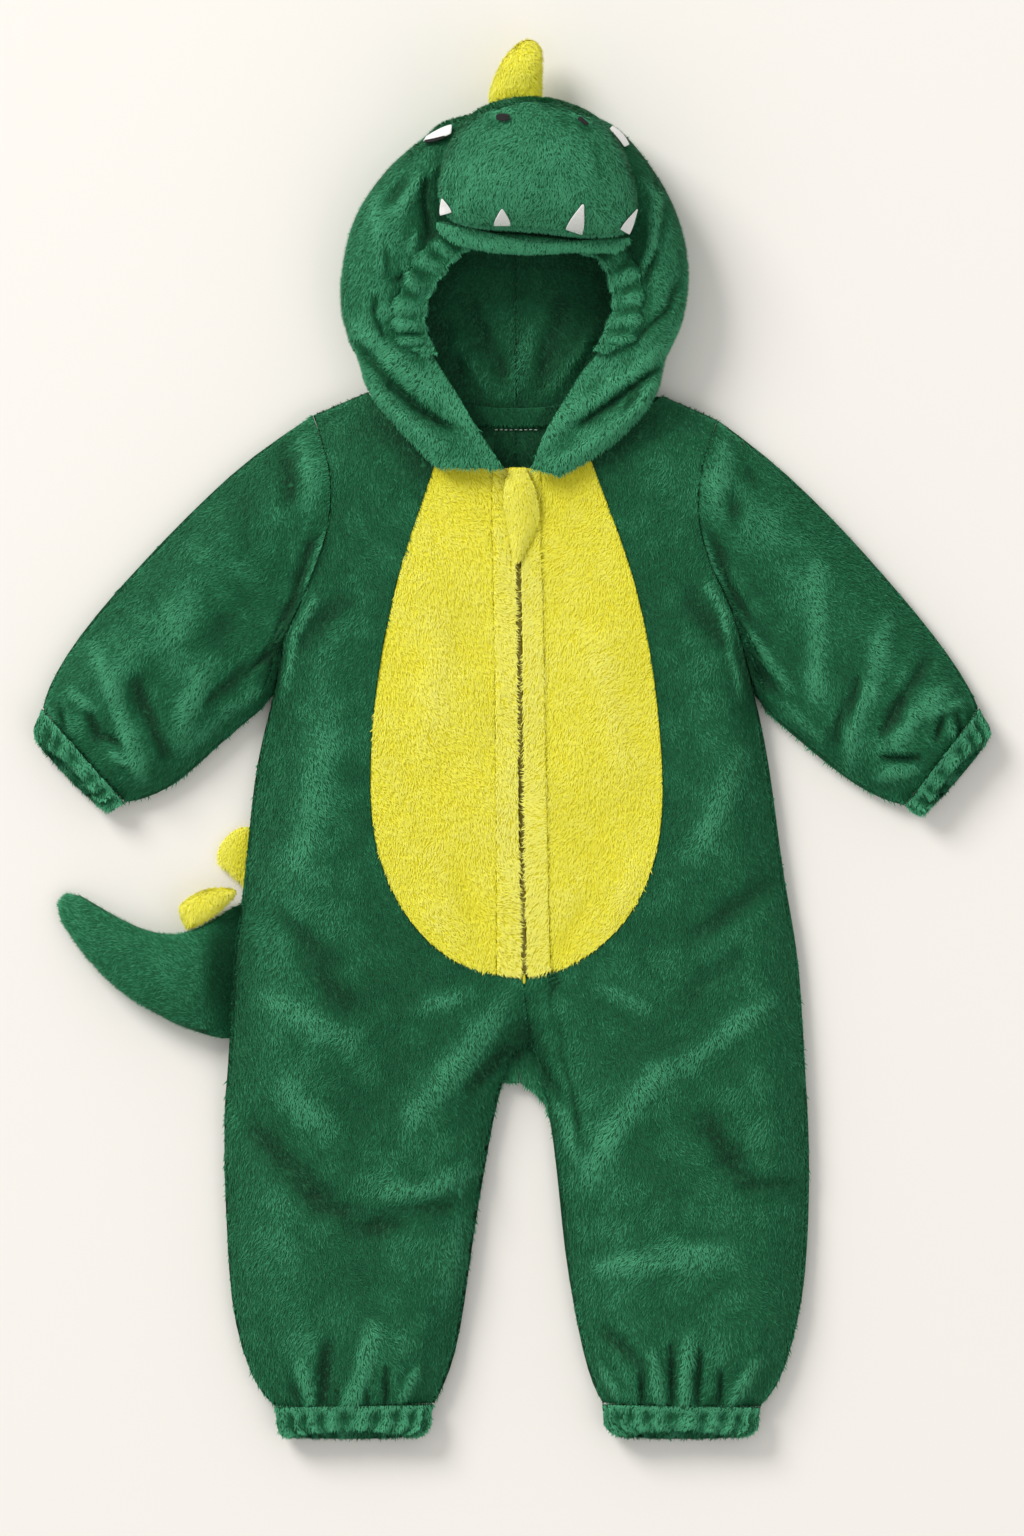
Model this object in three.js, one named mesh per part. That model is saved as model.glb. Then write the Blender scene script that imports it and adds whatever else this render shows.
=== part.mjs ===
// Baby dragon costume, laid on its back with the front facing up.
// Millimetres. X runs across to the wearer's left, Y runs from the hems up to the hood, Z is up.
import * as THREE from 'three';

// Driving sizes
const clothWall = 2.6;
const seamGap = 0.16;
const rimHeight = 9;
const rimTop = 11.8;
const bodyCrown = 31;
const bodyRound = 44;
const backRound = 16;
const cuffReach = 13;
const flangeWidth = 2.6;
const tailLift = 9.7;
const stripRaise = 0.7;
const zipHalfGap = 2.1;
const zipEndDip = 3.6;
const hoodHeight = 50;
const hoodRound = 21;
const casingWidth = 16;
const casingScallops = 11;
const sleeveCuffHeight = 24;
const legCuffHeight = 24;
const sleeveCuffRibs = 16;
const legCuffRibs = 20;
const cuffHollow = 5;
const snoutBase = 49.8;
const snoutMiddle = 61.6;
const snoutTop = 97;

const group = new THREE.Group();
group.name = 'baby_dragon_costume';

function cloth(color) {
  return new THREE.MeshStandardMaterial({ color, roughness: 0.9 });
}

// Tables are short rows of numbers read by the column names given first
function table(names, rows) {
  const keys = names.split(' ');
  return rows.map((row) => Object.fromEntries(keys.map((key, i) => [key, row[i]])));
}

function mix(a, b, t) {
  return a + (b - a) * t;
}

function mixPoint(a, b, t) {
  return a.map((v, i) => mix(v, b[i], t));
}

function clamp(v) {
  return Math.min(1, Math.max(0, v));
}

function smooth(a, b, v) {
  const t = clamp((v - a) / (b - a));
  return t * t * (3 - 2 * t);
}

function swell(u, power) {
  return 1 - Math.pow(1 - clamp(u), power);
}

// Smooth values between the rows of a table, at a fractional row number
function between(list, at) {
  const last = list.length - 1;
  const i = Math.min(last - 1, Math.max(0, Math.floor(at)));
  const t = at - i;
  const p0 = list[Math.max(0, i - 1)];
  const p1 = list[i];
  const p2 = list[i + 1];
  const p3 = list[Math.min(last, i + 2)];
  return p1.map((v, c) => {
    const m1 = (p2[c] - p0[c]) / 2;
    const m2 = (p3[c] - v) / 2;
    const a = 2 * t ** 3 - 3 * t ** 2 + 1;
    const b = t ** 3 - 2 * t ** 2 + t;
    const d = t ** 3 - t ** 2;
    return a * v + b * m1 + (1 - a) * p2[c] + d * m2;
  });
}

function segmentDistance(a, b, x, y) {
  const dx = b[0] - a[0];
  const dy = b[1] - a[1];
  const t = clamp(((x - a[0]) * dx + (y - a[1]) * dy) / (dx * dx + dy * dy));
  return Math.hypot(x - a[0] - t * dx, y - a[1] - t * dy);
}

function lineDistance(line, x, y) {
  let best = Infinity;
  for (let i = 0; i + 1 < line.length; i += 1) {
    best = Math.min(best, segmentDistance(line[i], line[i + 1], x, y));
  }
  return best;
}

function insidePolygon(polygon, x, y) {
  let inside = false;
  for (let i = 0; i < polygon.length; i += 1) {
    const [ax, ay] = polygon[i];
    const [bx, by] = polygon[(i + 1) % polygon.length];
    if ((ay > y) !== (by > y) && x < ax + ((bx - ax) * (y - ay)) / (by - ay)) {
      inside = !inside;
    }
  }
  return inside;
}

// A plan line moved sideways, to its left for a positive distance
function movedLine(line, distance) {
  return line.map((p, i) => {
    const a = line[Math.max(0, i - 1)];
    const b = line[Math.min(line.length - 1, i + 1)];
    const inLength = Math.hypot(p[0] - a[0], p[1] - a[1]) || 1;
    const outLength = Math.hypot(b[0] - p[0], b[1] - p[1]) || 1;
    let dx = (p[0] - a[0]) / inLength + (b[0] - p[0]) / outLength;
    let dy = (p[1] - a[1]) / inLength + (b[1] - p[1]) / outLength;
    const length = Math.hypot(dx, dy) || 1;
    dx /= length;
    dy /= length;
    return [p[0] - dy * distance, p[1] + dx * distance];
  });
}

// Closed solid between an outer and an inner grid of points
function wall(name, color, outer, inner, around = false) {
  const rows = outer.length;
  const cols = outer[0].length;
  const points = [...outer.flat(), ...inner.flat()];
  const half = rows * cols;
  const faces = [];
  const quad = (a, b, c, d) => {
    faces.push([a, b, c], [a, c, d]);
  };
  const span = around ? cols : cols - 1;
  for (let i = 0; i + 1 < rows; i += 1) {
    for (let j = 0; j < span; j += 1) {
      const k = (j + 1) % cols;
      const a = i * cols + j;
      const b = i * cols + k;
      const c = (i + 1) * cols + k;
      const d = (i + 1) * cols + j;
      quad(a, b, c, d);
      quad(half + d, half + c, half + b, half + a);
    }
  }
  for (let j = 0; j < span; j += 1) {
    const k = (j + 1) % cols;
    quad(k, j, half + j, half + k);
    const end = (rows - 1) * cols;
    quad(end + j, end + k, half + end + k, half + end + j);
  }
  if (!around) {
    for (let i = 0; i + 1 < rows; i += 1) {
      const a = i * cols;
      const b = (i + 1) * cols;
      quad(a, b, half + b, half + a);
      quad(b + cols - 1, a + cols - 1, half + a + cols - 1, half + b + cols - 1);
    }
  }
  return addSolid(name, color, points, faces);
}

function addSolid(name, color, points, faces) {
  let volume = 0;
  for (const [a, b, c] of faces) {
    const [p, q, r] = [points[a], points[b], points[c]];
    volume += p[0] * (q[1] * r[2] - q[2] * r[1]);
    volume -= p[1] * (q[0] * r[2] - q[2] * r[0]);
    volume += p[2] * (q[0] * r[1] - q[1] * r[0]);
  }
  const indices = faces.flatMap((face) => (volume > 0 ? face : [face[0], face[2], face[1]]));
  const geometry = new THREE.BufferGeometry();
  geometry.setAttribute('position', new THREE.Float32BufferAttribute(points.flat(), 3));
  geometry.setIndex(indices);
  geometry.computeVertexNormals();
  const mesh = new THREE.Mesh(geometry, cloth(color));
  mesh.name = name;
  group.add(mesh);
  return mesh;
}

// Sheet over a plan grid, between a lower and an upper height
function sheet(name, color, plan, top, bottom) {
  const outer = plan.map((row) => row.map(([x, y]) => [x, y, top(x, y)]));
  const inner = plan.map((row) => row.map(([x, y]) => [x, y, bottom(x, y)]));
  return wall(name, color, outer, inner);
}

function acrossRows(starts, ends, steps) {
  return starts.map((a, i) => steps.map((t) => mixPoint(a, ends[i], t)));
}

// Stuffed solid over a star shaped outline
const pillowUp = [1, 0.965, 0.86, 0.68, 0.44, 0.2];
const pillowDown = [0.93, 0.7, 0.35];

function dome(s) {
  return Math.sqrt(Math.max(0, 1 - s ** 2.4));
}

function pillow(name, color, outline, centre, middle, rise, drop) {
  const points = [];
  const faces = [];
  const count = outline.length;
  const rings = [
    ...[...pillowDown].reverse().map((s) => [s, middle - drop * dome(s)]),
    ...pillowUp.map((s) => [s, middle + rise * dome(s)]),
  ];
  for (const [s, z] of rings) {
    for (const p of outline) {
      points.push([mix(centre[0], p[0], s), mix(centre[1], p[1], s), z]);
    }
  }
  const low = points.push([centre[0], centre[1], middle - drop]) - 1;
  const high = points.push([centre[0], centre[1], middle + rise]) - 1;
  for (let m = 0; m < count; m += 1) {
    const n = (m + 1) % count;
    for (let k = 0; k + 1 < rings.length; k += 1) {
      const a = k * count;
      faces.push([a + m, a + n, a + count + n], [a + m, a + count + n, a + count + m]);
    }
    const end = (rings.length - 1) * count;
    faces.push([low, n, m], [high, end + m, end + n]);
  }
  return addSolid(name, color, points, faces);
}

const green = 0x2f7d4e;
const deepGreen = 0x23653d;
const yellow = 0xe8df3a;
const paleYellow = 0xeee65a;
const felt = 0xf6f5ee;
const black = 0x151515;

// Plan lines of the front panels, from the neck down to the leg cuff
const rightFront = table('sideX sideY midX midY', [
  [-132, 224, -97, 239], [-126, 207, -80, 226], [-121, 190, -60, 206],
  [-120, 175, -50, 200], [-121, 153, -64, 160], [-129, 129, -74, 130],
  [-140, 102, -80, 104], [-151, 78, -86, 78], [-157, 43, -91, 46],
  [-162, 16, -94, 13], [-168, -16, -95, -20], [-171, -49, -93, -51],
  [-174, -78, -84, -79], [-177, -104, -69, -107], [-180, -124, -45, -130],
  [-181, -140, -20, -138], [-183, -156, 5, -142], [-183, -172, 6.5, -162],
  [-184, -188, 9.5, -182], [-185, -205, -4, -190], [-187, -224, -11, -208],
  [-187, -247, -17, -231], [-187, -273, -23, -266], [-185, -312, -31, -312],
  [-183, -351, -36, -354], [-176, -384, -42, -387], [-165, -410, -50, -408],
  [-154, -420, -56, -418],
]);
const leftFront = table('sideX sideY midX midY', [
  [131, 221, 95, 237], [125, 204, 78, 224], [120, 188, 57, 206],
  [118, 174, 47, 200], [119, 150, 62, 160], [127, 125, 73, 130],
  [139, 102, 80, 104], [146, 78, 86, 78], [155, 43, 91, 46],
  [159, 14, 94, 13], [164, -18, 96, -20], [168, -50, 94, -52],
  [172, -79, 86, -79], [177, -105, 73, -105], [180, -125, 48, -128],
  [182, -143, 26, -137], [183, -159, 5, -142], [184, -176, 6.5, -162],
  [185, -195, 9.5, -182], [186, -211, 17, -198], [187, -228, 23, -222],
  [188, -250, 27, -248], [188, -283, 31, -284], [187, -315, 34, -318],
  [184, -351, 40, -354], [176, -384, 46, -385], [167, -409, 53, -408],
  [156, -420, 59, -418],
]);
const armholeRows = 8;
const bellyFirst = 3;
const bellyLast = 16;
const crotchRow = 18;

// Plan lines of the sleeves, from the armhole to the cuff
const rightSleeve = table('upX upY lowX lowY', [
  [-172, 195, -165, 36], [-200, 169, -179, 25], [-226, 143, -194, 12],
  [-250, 117, -208, -1], [-273, 91, -221, -12], [-292, 65, -235, -20],
  [-303, 44, -250, -25], [-306, 32, -256, -25],
]);
const leftSleeve = table('upX upY lowX lowY', [
  [163, 195, 162, 34], [191, 169, 178, 21], [216, 143, 192, 9],
  [239, 117, 207, -3], [261, 91, 222, -14], [281, 65, 237, -22],
  [294, 44, 249, -26], [299, 32, 254, -27],
]);

function columnLine(rows, x, y) {
  return rows.map((row) => [row[x], row[y]]);
}

const rightSide = columnLine(rightFront, 'sideX', 'sideY');
const rightMid = columnLine(rightFront, 'midX', 'midY');
const leftSide = columnLine(leftFront, 'sideX', 'sideY');
const leftMid = columnLine(leftFront, 'midX', 'midY');
const rightUpper = [rightSide[0], ...columnLine(rightSleeve, 'upX', 'upY')];
const rightLower = [rightSide[armholeRows], ...columnLine(rightSleeve, 'lowX', 'lowY')];
const leftUpper = [leftSide[0], ...columnLine(leftSleeve, 'upX', 'upY')];
const leftLower = [leftSide[armholeRows], ...columnLine(leftSleeve, 'lowX', 'lowY')];

// Seamed rims that the front swells up from
const rims = [
  [rightMid[0], ...rightUpper],
  [leftMid[0], ...leftUpper],
  rightLower,
  leftLower,
  rightSide.slice(armholeRows),
  leftSide.slice(armholeRows),
  rightMid.slice(crotchRow),
  leftMid.slice(crotchRow),
];

// The same line with one more point, so that the open ends count as inside
function runOn(line) {
  const [a, b] = line.slice(-2);
  const length = Math.hypot(b[0] - a[0], b[1] - a[1]);
  return [...line, [b[0] + ((b[0] - a[0]) * 16) / length, b[1] + ((b[1] - a[1]) * 16) / length]];
}

const silhouette = [
  rightMid[0],
  ...runOn(rightUpper),
  ...runOn(rightLower).reverse(),
  ...runOn(rightSide.slice(armholeRows + 1)),
  ...runOn(rightMid.slice(crotchRow)).reverse(),
  ...runOn(leftMid.slice(crotchRow + 1)),
  ...runOn(leftSide.slice(armholeRows + 1)).reverse(),
  ...runOn(leftLower),
  ...runOn(leftUpper).reverse(),
  leftMid[0],
];

// Soft ridges and troughs in the front, by their ends, width and height
const folds = table('x1 y1 x2 y2 width height', [
  [-300, 24, -222, 98, 9, 3], [-285, 4, -215, 62, 8, -2.4], [-266, -16, -206, 34, 8, 2.4],
  [-188, 52, -150, 118, 11, -3], [-176, 160, -132, 188, 14, 2.2],
  [294, 24, 218, 94, 9, 2.8], [278, 2, 208, 60, 8, -2.4], [260, -18, 202, 28, 8, 2.6],
  [186, 48, 148, 112, 11, -3], [172, 158, 130, 186, 14, 2.2],
  [-142, 30, -116, -60, 14, 2.2], [144, 20, 112, -74, 14, 2],
  [-66, 96, -34, -6, 18, 1.8], [62, 80, 34, -34, 17, 1.6],
  [-12, -168, -67, -230, 11, 3.2], [-169, -238, -130, -285, 11, -3.2], [-130, -285, -90, -301, 9, -3],
  [-90, -301, -44, -289, 9, -3], [-24, -262, -59, -281, 8, 2.8], [-59, -281, -98, -274, 8, 2.8],
  [55, -328, 90, -324, 9, 3], [90, -324, 136, -320, 9, 3], [121, -231, 152, -274, 10, -3.2],
  [152, -274, 183, -278, 10, -2.8], [42, -274, 82, -214, 10, 3], [82, -214, 98, -199, 10, 2.6],
  [58, -370, 82, -394, 6, -3.2], [-138, -370, -118, -402, 6, -3.2],
  [-134, -422, -140, -378, 5.5, 3.6], [-106, -422, -106, -366, 5.5, 3.8], [-80, -422, -76, -376, 5.5, 4],
  [74, -422, 68, -384, 5.5, 3.4], [92, -422, 90, -368, 5.5, 3.6], [112, -422, 113, -362, 5.5, 4],
  [139, -422, 144, -384, 5.5, 3],
]);

function lift(x, y) {
  const across = smooth(-62, -150, x);
  const along = smooth(-36, -84, y) * smooth(-236, -188, y);
  return tailLift * across * along;
}

function rimDistance(x, y) {
  return Math.min(...rims.map((line) => lineDistance(line, x, y)));
}

function foldHeight(x, y, distance) {
  let sum = 0;
  for (const fold of folds) {
    const away = segmentDistance([fold.x1, fold.y1], [fold.x2, fold.y2], x, y);
    sum += fold.height * Math.exp(-((away / fold.width) ** 2));
  }
  return sum * smooth(0, 16, distance);
}

const cuffLines = [
  [rightUpper, rightLower], [leftUpper, leftLower], [rightSide, rightMid], [leftSide, leftMid],
].map((pair) => pair.map((line) => line[line.length - 1]));

function frontTop(x, y) {
  const distance = rimDistance(x, y);
  const toCuff = lineDistance(cuffLines[y < -200 ? 2 : 0], x, y);
  const toOther = lineDistance(cuffLines[y < -200 ? 3 : 1], x, y);
  const drawn = 1 - 0.32 * Math.exp(-((Math.min(toCuff, toOther) / cuffReach) ** 2));
  const rise = (bodyCrown - rimTop) * swell(distance / bodyRound, 2.6) * drawn;
  return rimTop + rise + foldHeight(x, y, distance) + lift(x, y);
}

function slopeFactor(height, x, y) {
  const step = 1.5;
  const dx = (height(x + step, y) - height(x - step, y)) / (2 * step);
  const dy = (height(x, y + step) - height(x, y - step)) / (2 * step);
  return Math.min(1.6, Math.hypot(1, dx, dy));
}

function frontBottom(x, y) {
  return frontTop(x, y) - Math.min(clothWall * slopeFactor(frontTop, x, y), 3.4);
}

function backBottom(x, y) {
  const distance = insidePolygon(silhouette, x, y) ? rimDistance(x, y) : 0;
  const curl = (rimHeight - seamGap - clothWall) * (1 - swell(distance / backRound, 2));
  return curl + lift(x, y);
}

function backTop(x, y) {
  return backBottom(x, y) + clothWall;
}

// Green front panels
const frontSteps = [0, 0.03, 0.09, 0.18, 0.3, 0.44, 0.58, 0.72, 0.84, 0.93, 0.975, 1];

function frontPanel(name, side, mid, turn) {
  const armhole = movedLine(side.slice(0, armholeRows + 1), turn * seamGap);
  const outside = [...armhole, ...side.slice(armholeRows + 1)];
  const seam = movedLine(mid.slice(0, crotchRow + 1), -turn * seamGap);
  const inside = [...seam, ...mid.slice(crotchRow + 1)];
  sheet(name, green, acrossRows(outside, inside, frontSteps), frontTop, frontBottom);
}

frontPanel('front_right', rightSide, rightMid, 1);
frontPanel('front_left', leftSide, leftMid, -1);

// Yellow belly panels, set in between the green front and the zip strips
const stripRows = table('rightX zipX leftX y', [
  [-15.5, 1.3, 16, 189.5], [-15.5, 1.3, 16, 160], [-15, 1.4, 16.5, 130],
  [-14.5, 1.8, 17.5, 104], [-14, 2.2, 18, 78], [-13.5, 2.6, 18.5, 46],
  [-13, 3, 19, 13], [-13, 3.4, 20, -20], [-12.5, 3.8, 20.5, -51],
  [-12.5, 4.3, 21, -79], [-12.5, 4.8, 21.5, -106], [-12.5, 5.2, 22, -124],
  [-12.5, 5.5, 22.5, -134], [-12.5, 5.8, 23, -137.4],
]);
const bellySteps = [0, 0.25, 0.5, 0.75, 1];

function bellyPanel(name, mid, turn, column, endY) {
  const outside = movedLine(mid.slice(bellyFirst, bellyLast), turn * seamGap);
  const rows = stripRows.slice(0, outside.length);
  const inside = rows.map((row) => [row[column] - turn * seamGap, row.y]);
  inside[rows.length - 1] = [stripRows[stripRows.length - 1][column] - turn * seamGap, endY];
  sheet(name, yellow, acrossRows(outside, inside, bellySteps), frontTop, frontBottom);
}

bellyPanel('belly_right', rightMid, 1, 'rightX', -138.7);
bellyPanel('belly_left', leftMid, -1, 'leftX', -137.2);

// Folded strips along the zip
function stripTop(x, y) {
  return frontTop(x, y) + stripRaise;
}

function zipStrip(name, turn, column) {
  const last = stripRows.length - 1;
  const outside = stripRows.map((row) => [row[column] + turn * seamGap, row.y]);
  const inside = stripRows.map((row) => [row.zipX - turn * zipHalfGap, row.y]);
  inside[last][1] -= zipEndDip;
  outside[last][1] -= turn > 0 ? 1.5 : 0;
  sheet(name, paleYellow, acrossRows(outside, inside, [0, 0.5, 1]), stripTop, frontBottom);
}

zipStrip('zip_strip_right', 1, 'rightX');
zipStrip('zip_strip_left', -1, 'leftX');

// Zip tape behind the strips, chain between them, slider under the leaf
const zipRows = stripRows.slice(1);

function underFront(x, y) {
  return frontBottom(x, y) - 0.35;
}

sheet(
  'zip_tape',
  yellow,
  zipRows.map((row) => [-11, 0, 11].map((dx) => [row.zipX + dx, row.y])),
  underFront,
  (x, y) => underFront(x, y) - 1.1,
);
sheet(
  'zip_chain',
  yellow,
  zipRows.slice(1).map((row) => [-1.6, 1.6].map((dx) => [row.zipX + dx, row.y])),
  (x, y) => frontTop(x, y) - 0.9,
  (x, y) => frontBottom(x, y) + 0.1,
);

// Sleeves: the front carries on the height of the body, the back lies on the ground
const sleeveSteps = [0, 0.05, 0.16, 0.32, 0.5, 0.68, 0.84, 0.95, 1];

function sleeveRows(side, rows, turn, start) {
  const armhole = movedLine(side.slice(0, armholeRows + 1), turn * start);
  const shorter = rows.map((row) => [[row.upX, row.upY], [row.lowX, row.lowY]]);
  const across = shorter.map(([a, b]) => sleeveSteps.map((t) => mixPoint(a, b, t)));
  return [armhole, ...across];
}

function widened(plan, amount) {
  return plan.map((row, i) => {
    if (i === 0) {
      return row;
    }
    const first = row[0];
    const last = row[row.length - 1];
    const length = Math.hypot(last[0] - first[0], last[1] - first[1]);
    const ux = ((last[0] - first[0]) / length) * amount;
    const uy = ((last[1] - first[1]) / length) * amount;
    return [[first[0] - ux, first[1] - uy], ...row.slice(1, -1), [last[0] + ux, last[1] + uy]];
  });
}

function sleeve(label, side, rows, turn) {
  const plan = sleeveRows(side, rows, turn, -seamGap);
  sheet(`sleeve_front_${label}`, green, plan, frontTop, frontBottom);
  sheet(`sleeve_back_${label}`, green, widened(plan, flangeWidth), backTop, backBottom);
}

sleeve('right', rightSide, rightSleeve, 1);
sleeve('left', leftSide, leftSleeve, -1);

// Back halves, a little wider than the front, flat on the ground
const backSteps = [0, 0.022, 0.07, 0.17, 0.5, 0.84, 0.95, 1];
const backMid = table('x y', [
  [0, 221.5], [0.2, 200], [0.3, 186], [0.4, 170], [0.5, 150], [0.7, 127], [0.9, 103], [1, 78],
  [1.2, 45], [1.3, 15], [1.4, -17], [1.5, -50], [1.7, -79], [1.8, -104], [1.9, -126],
  [2, -140], [2.1, -160], [2.2, -176], [2.3, -194],
]);
const neckRow = table('x y', [
  [95, 236.5], [89, 236], [80, 235], [68, 232], [48, 227.5], [24, 223.5], [10, 222], [0.5, 221.5],
]);

function legFlange(p, q, amount) {
  const length = Math.hypot(q[0] - p[0], q[1] - p[1]);
  return [
    p[0] + ((p[0] - q[0]) / length) * amount,
    p[1] + ((p[1] - q[1]) / length) * amount,
  ];
}

function backPanel(name, side, mid, turn) {
  const armhole = movedLine(side.slice(0, armholeRows + 1), turn * seamGap);
  const rows = [neckRow.map((p) => [-turn * (p.x - 0.2) , p.y])];
  const count = side.length;
  for (let i = 0; i < count; i += 1) {
    const crotch = [2.4 - turn * 0.25, -210];
    const seam = i <= crotchRow ? [backMid[i].x - turn * seamGap, backMid[i].y] : mid[i];
    let inside = i <= crotchRow ? seam : legFlange(mid[i], side[i], flangeWidth);
    if (i === crotchRow + 1) {
      inside = crotch;
    }
    const outside = i <= armholeRows ? armhole[i] : legFlange(side[i], mid[i], flangeWidth);
    rows.push(backSteps.map((t) => mixPoint(outside, inside, t)));
  }
  sheet(name, green, rows, backTop, backBottom);
}

backPanel('back_right', rightSide, rightMid, 1);
backPanel('back_left', leftSide, leftMid, -1);

// Gathered cuffs, closed rings of ribbed cloth
function cuff(name, rows, ribs) {
  const around = ribs * 2;
  const rings = (inset) => rows.map((row, k) => {
    const dx = (row.bX - row.aX) / 2;
    const dy = (row.bY - row.aY) / 2;
    const half = Math.hypot(dx, dy);
    const ring = [];
    for (let m = 0; m < around; m += 1) {
      const angle = (Math.PI * 2 * (m + 0.5)) / around;
      const rib = row.rib * (m % 2 ? 1 : -1);
      const c = Math.cos(angle);
      const s = Math.sin(angle);
      const across = Math.sign(c) * Math.abs(c) ** 0.8 * (half - inset + rib * Math.abs(c));
      const high = Math.sign(s) * Math.abs(s) ** 0.8 * (row.high / 2 - inset + rib);
      const hollow = s > 0 ? -cuffHollow : cuffHollow * 0.3;
      const out = hollow * (1 - c * c) * (k / (rows.length - 1)) ** 1.5;
      ring.push([
        (row.aX + row.bX) / 2 + (dx / half) * across + (dy / half) * out,
        (row.aY + row.bY) / 2 + (dy / half) * across - (dx / half) * out,
        row.middle + high,
      ]);
    }
    return ring;
  });
  wall(name, deepGreen, rings(0), rings(clothWall), true);
}

function cuffRows(list, height) {
  return table('aX aY bX bY high middle rib', list.map((row, i) => [
    ...row, height * [1, 0.9, 0.92, 0.8][i], (height / 2) * [1.05, 1.02, 1.02, 1][i], [0.7, 1.4, 1.3, 1.1][i],
  ]));
}

cuff('leg_cuff_right', cuffRows([
  [-153.5, -420.6, -57, -419], [-151, -427, -59.5, -426],
  [-152, -433, -58.5, -432.5], [-148, -440, -64, -440],
], legCuffHeight), legCuffRibs);
cuff('leg_cuff_left', cuffRows([
  [59.5, -419, 155.5, -420.8], [61.5, -426, 153.5, -427],
  [60.5, -432.5, 154.5, -433.5], [67, -440, 149, -440],
], legCuffHeight), legCuffRibs);
cuff('sleeve_cuff_right', cuffRows([
  [-306.2, 31, -256.6, -25.6], [-308, 24, -262, -27.5], [-311, 19, -266, -31], [-312, 12, -271, -30.5],
], sleeveCuffHeight), sleeveCuffRibs);
cuff('sleeve_cuff_left', cuffRows([
  [254.8, -27.5, 299.3, 31], [259.5, -29.8, 302, 24], [263.5, -33.4, 306, 19], [268, -33, 307, 12.5],
], sleeveCuffHeight), sleeveCuffRibs);

// Hood halves: every row runs from the back over the side to the edge of the face opening
const hoodRight = table('rimX rimY sideX sideY endX endY base top rim round', [
  [-0.2, 338, -0.2, 424, -0.2, 396, 0, 50, 46, 21],
  [-18, 337, -44, 418, -0.2, 372, 0, 50, 46, 21],
  [-27, 336, -62, 404, -0.2, 357, 0, 50, 46, 21],
  [-36, 333, -82, 388, -0.2, 340, 0, 50, 46, 21],
  [-47, 322, -104, 358, -0.2, 318, 0, 50, 45, 21],
  [-57, 306, -113, 328, -0.2, 288, 0, 50, 44, 21],
  [-62, 287, -115.5, 296, -0.2, 258, 0, 49, 43, 21],
  [-59, 274, -109.5, 274, -0.2, 222.6, 0, 47, 42, 20],
  [-55, 265, -103.5, 263, -50, 231, 0, 46, 42, 19],
  [-51, 258, -100, 252, -76, 239.5, 12.6, 46, 42, 12],
  [-46, 250, -96, 241, -88, 237, 22.8, 45, 42, 8],
  [-37, 236, -84, 224, -77, 227, 28.6, 43, 41, 6],
  [-26, 217, -61, 199, -55, 204, 32.6, 44, 42, 5],
  [-7.5, 189, -50, 190, -46, 194, 34.6, 44, 43, 4.5],
]);
const hoodLeft = table('rimX rimY sideX sideY endX endY base top rim round', [
  [0.2, 338, 0.2, 424, 0.2, 396, 0, 50, 46, 21],
  [18, 337, 50, 420, 0.2, 372, 0, 50, 46, 21],
  [28, 336, 69, 409.5, 0.2, 357, 0, 50, 46, 21],
  [38, 334, 84, 393, 0.2, 340, 0, 50, 46, 21],
  [56, 327, 102, 365, 0.2, 318, 0, 50, 45, 21],
  [64, 309, 112, 333, 0.2, 288, 0, 50, 44, 21],
  [65, 292, 112.5, 300, 0.2, 258, 0, 49, 43, 21],
  [59, 275, 105, 275, 0.2, 222.6, 0, 47, 42, 20],
  [54, 267, 98, 263, 50, 231, 0, 46, 42, 19],
  [49, 260, 95, 251, 76, 239.5, 12.6, 46, 42, 12],
  [42, 252, 92, 240, 86, 236, 22.8, 45, 42, 8],
  [31, 234, 80, 221, 73, 225, 28.6, 43, 41, 6],
  [19, 214, 58, 201, 53, 206, 32.6, 44, 42, 5],
  [9.5, 189.5, 29, 184.5, 25.5, 189, 34.6, 44, 43, 4.5],
]);
const hoodFolds = table('x1 y1 x2 y2 width height', [
  [-112, 300, -90, 262, 8, -3], [-90, 262, -46, 216, 7, -3.4], [-96, 250, -60, 214, 6, 2],
  [-52, 388, -84, 334, 10, 3], [-88, 300, -78, 320, 9, 3.5], [-70, 316, -62, 300, 5, 2.4],
  [96, 262, 74, 240, 8, -3.2], [74, 240, 40, 214, 7, -3], [92, 246, 62, 214, 6, 2],
  [90, 366, 96, 300, 8, 3], [76, 340, 84, 290, 6, -2.6], [-100, 345, -72, 318, 7, -2.4],
]);

function hoodFold(x, y) {
  let sum = 0;
  for (const fold of hoodFolds) {
    const away = segmentDistance([fold.x1, fold.y1], [fold.x2, fold.y2], x, y);
    sum += fold.height * Math.exp(-((away / fold.width) ** 2));
  }
  return sum;
}

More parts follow.
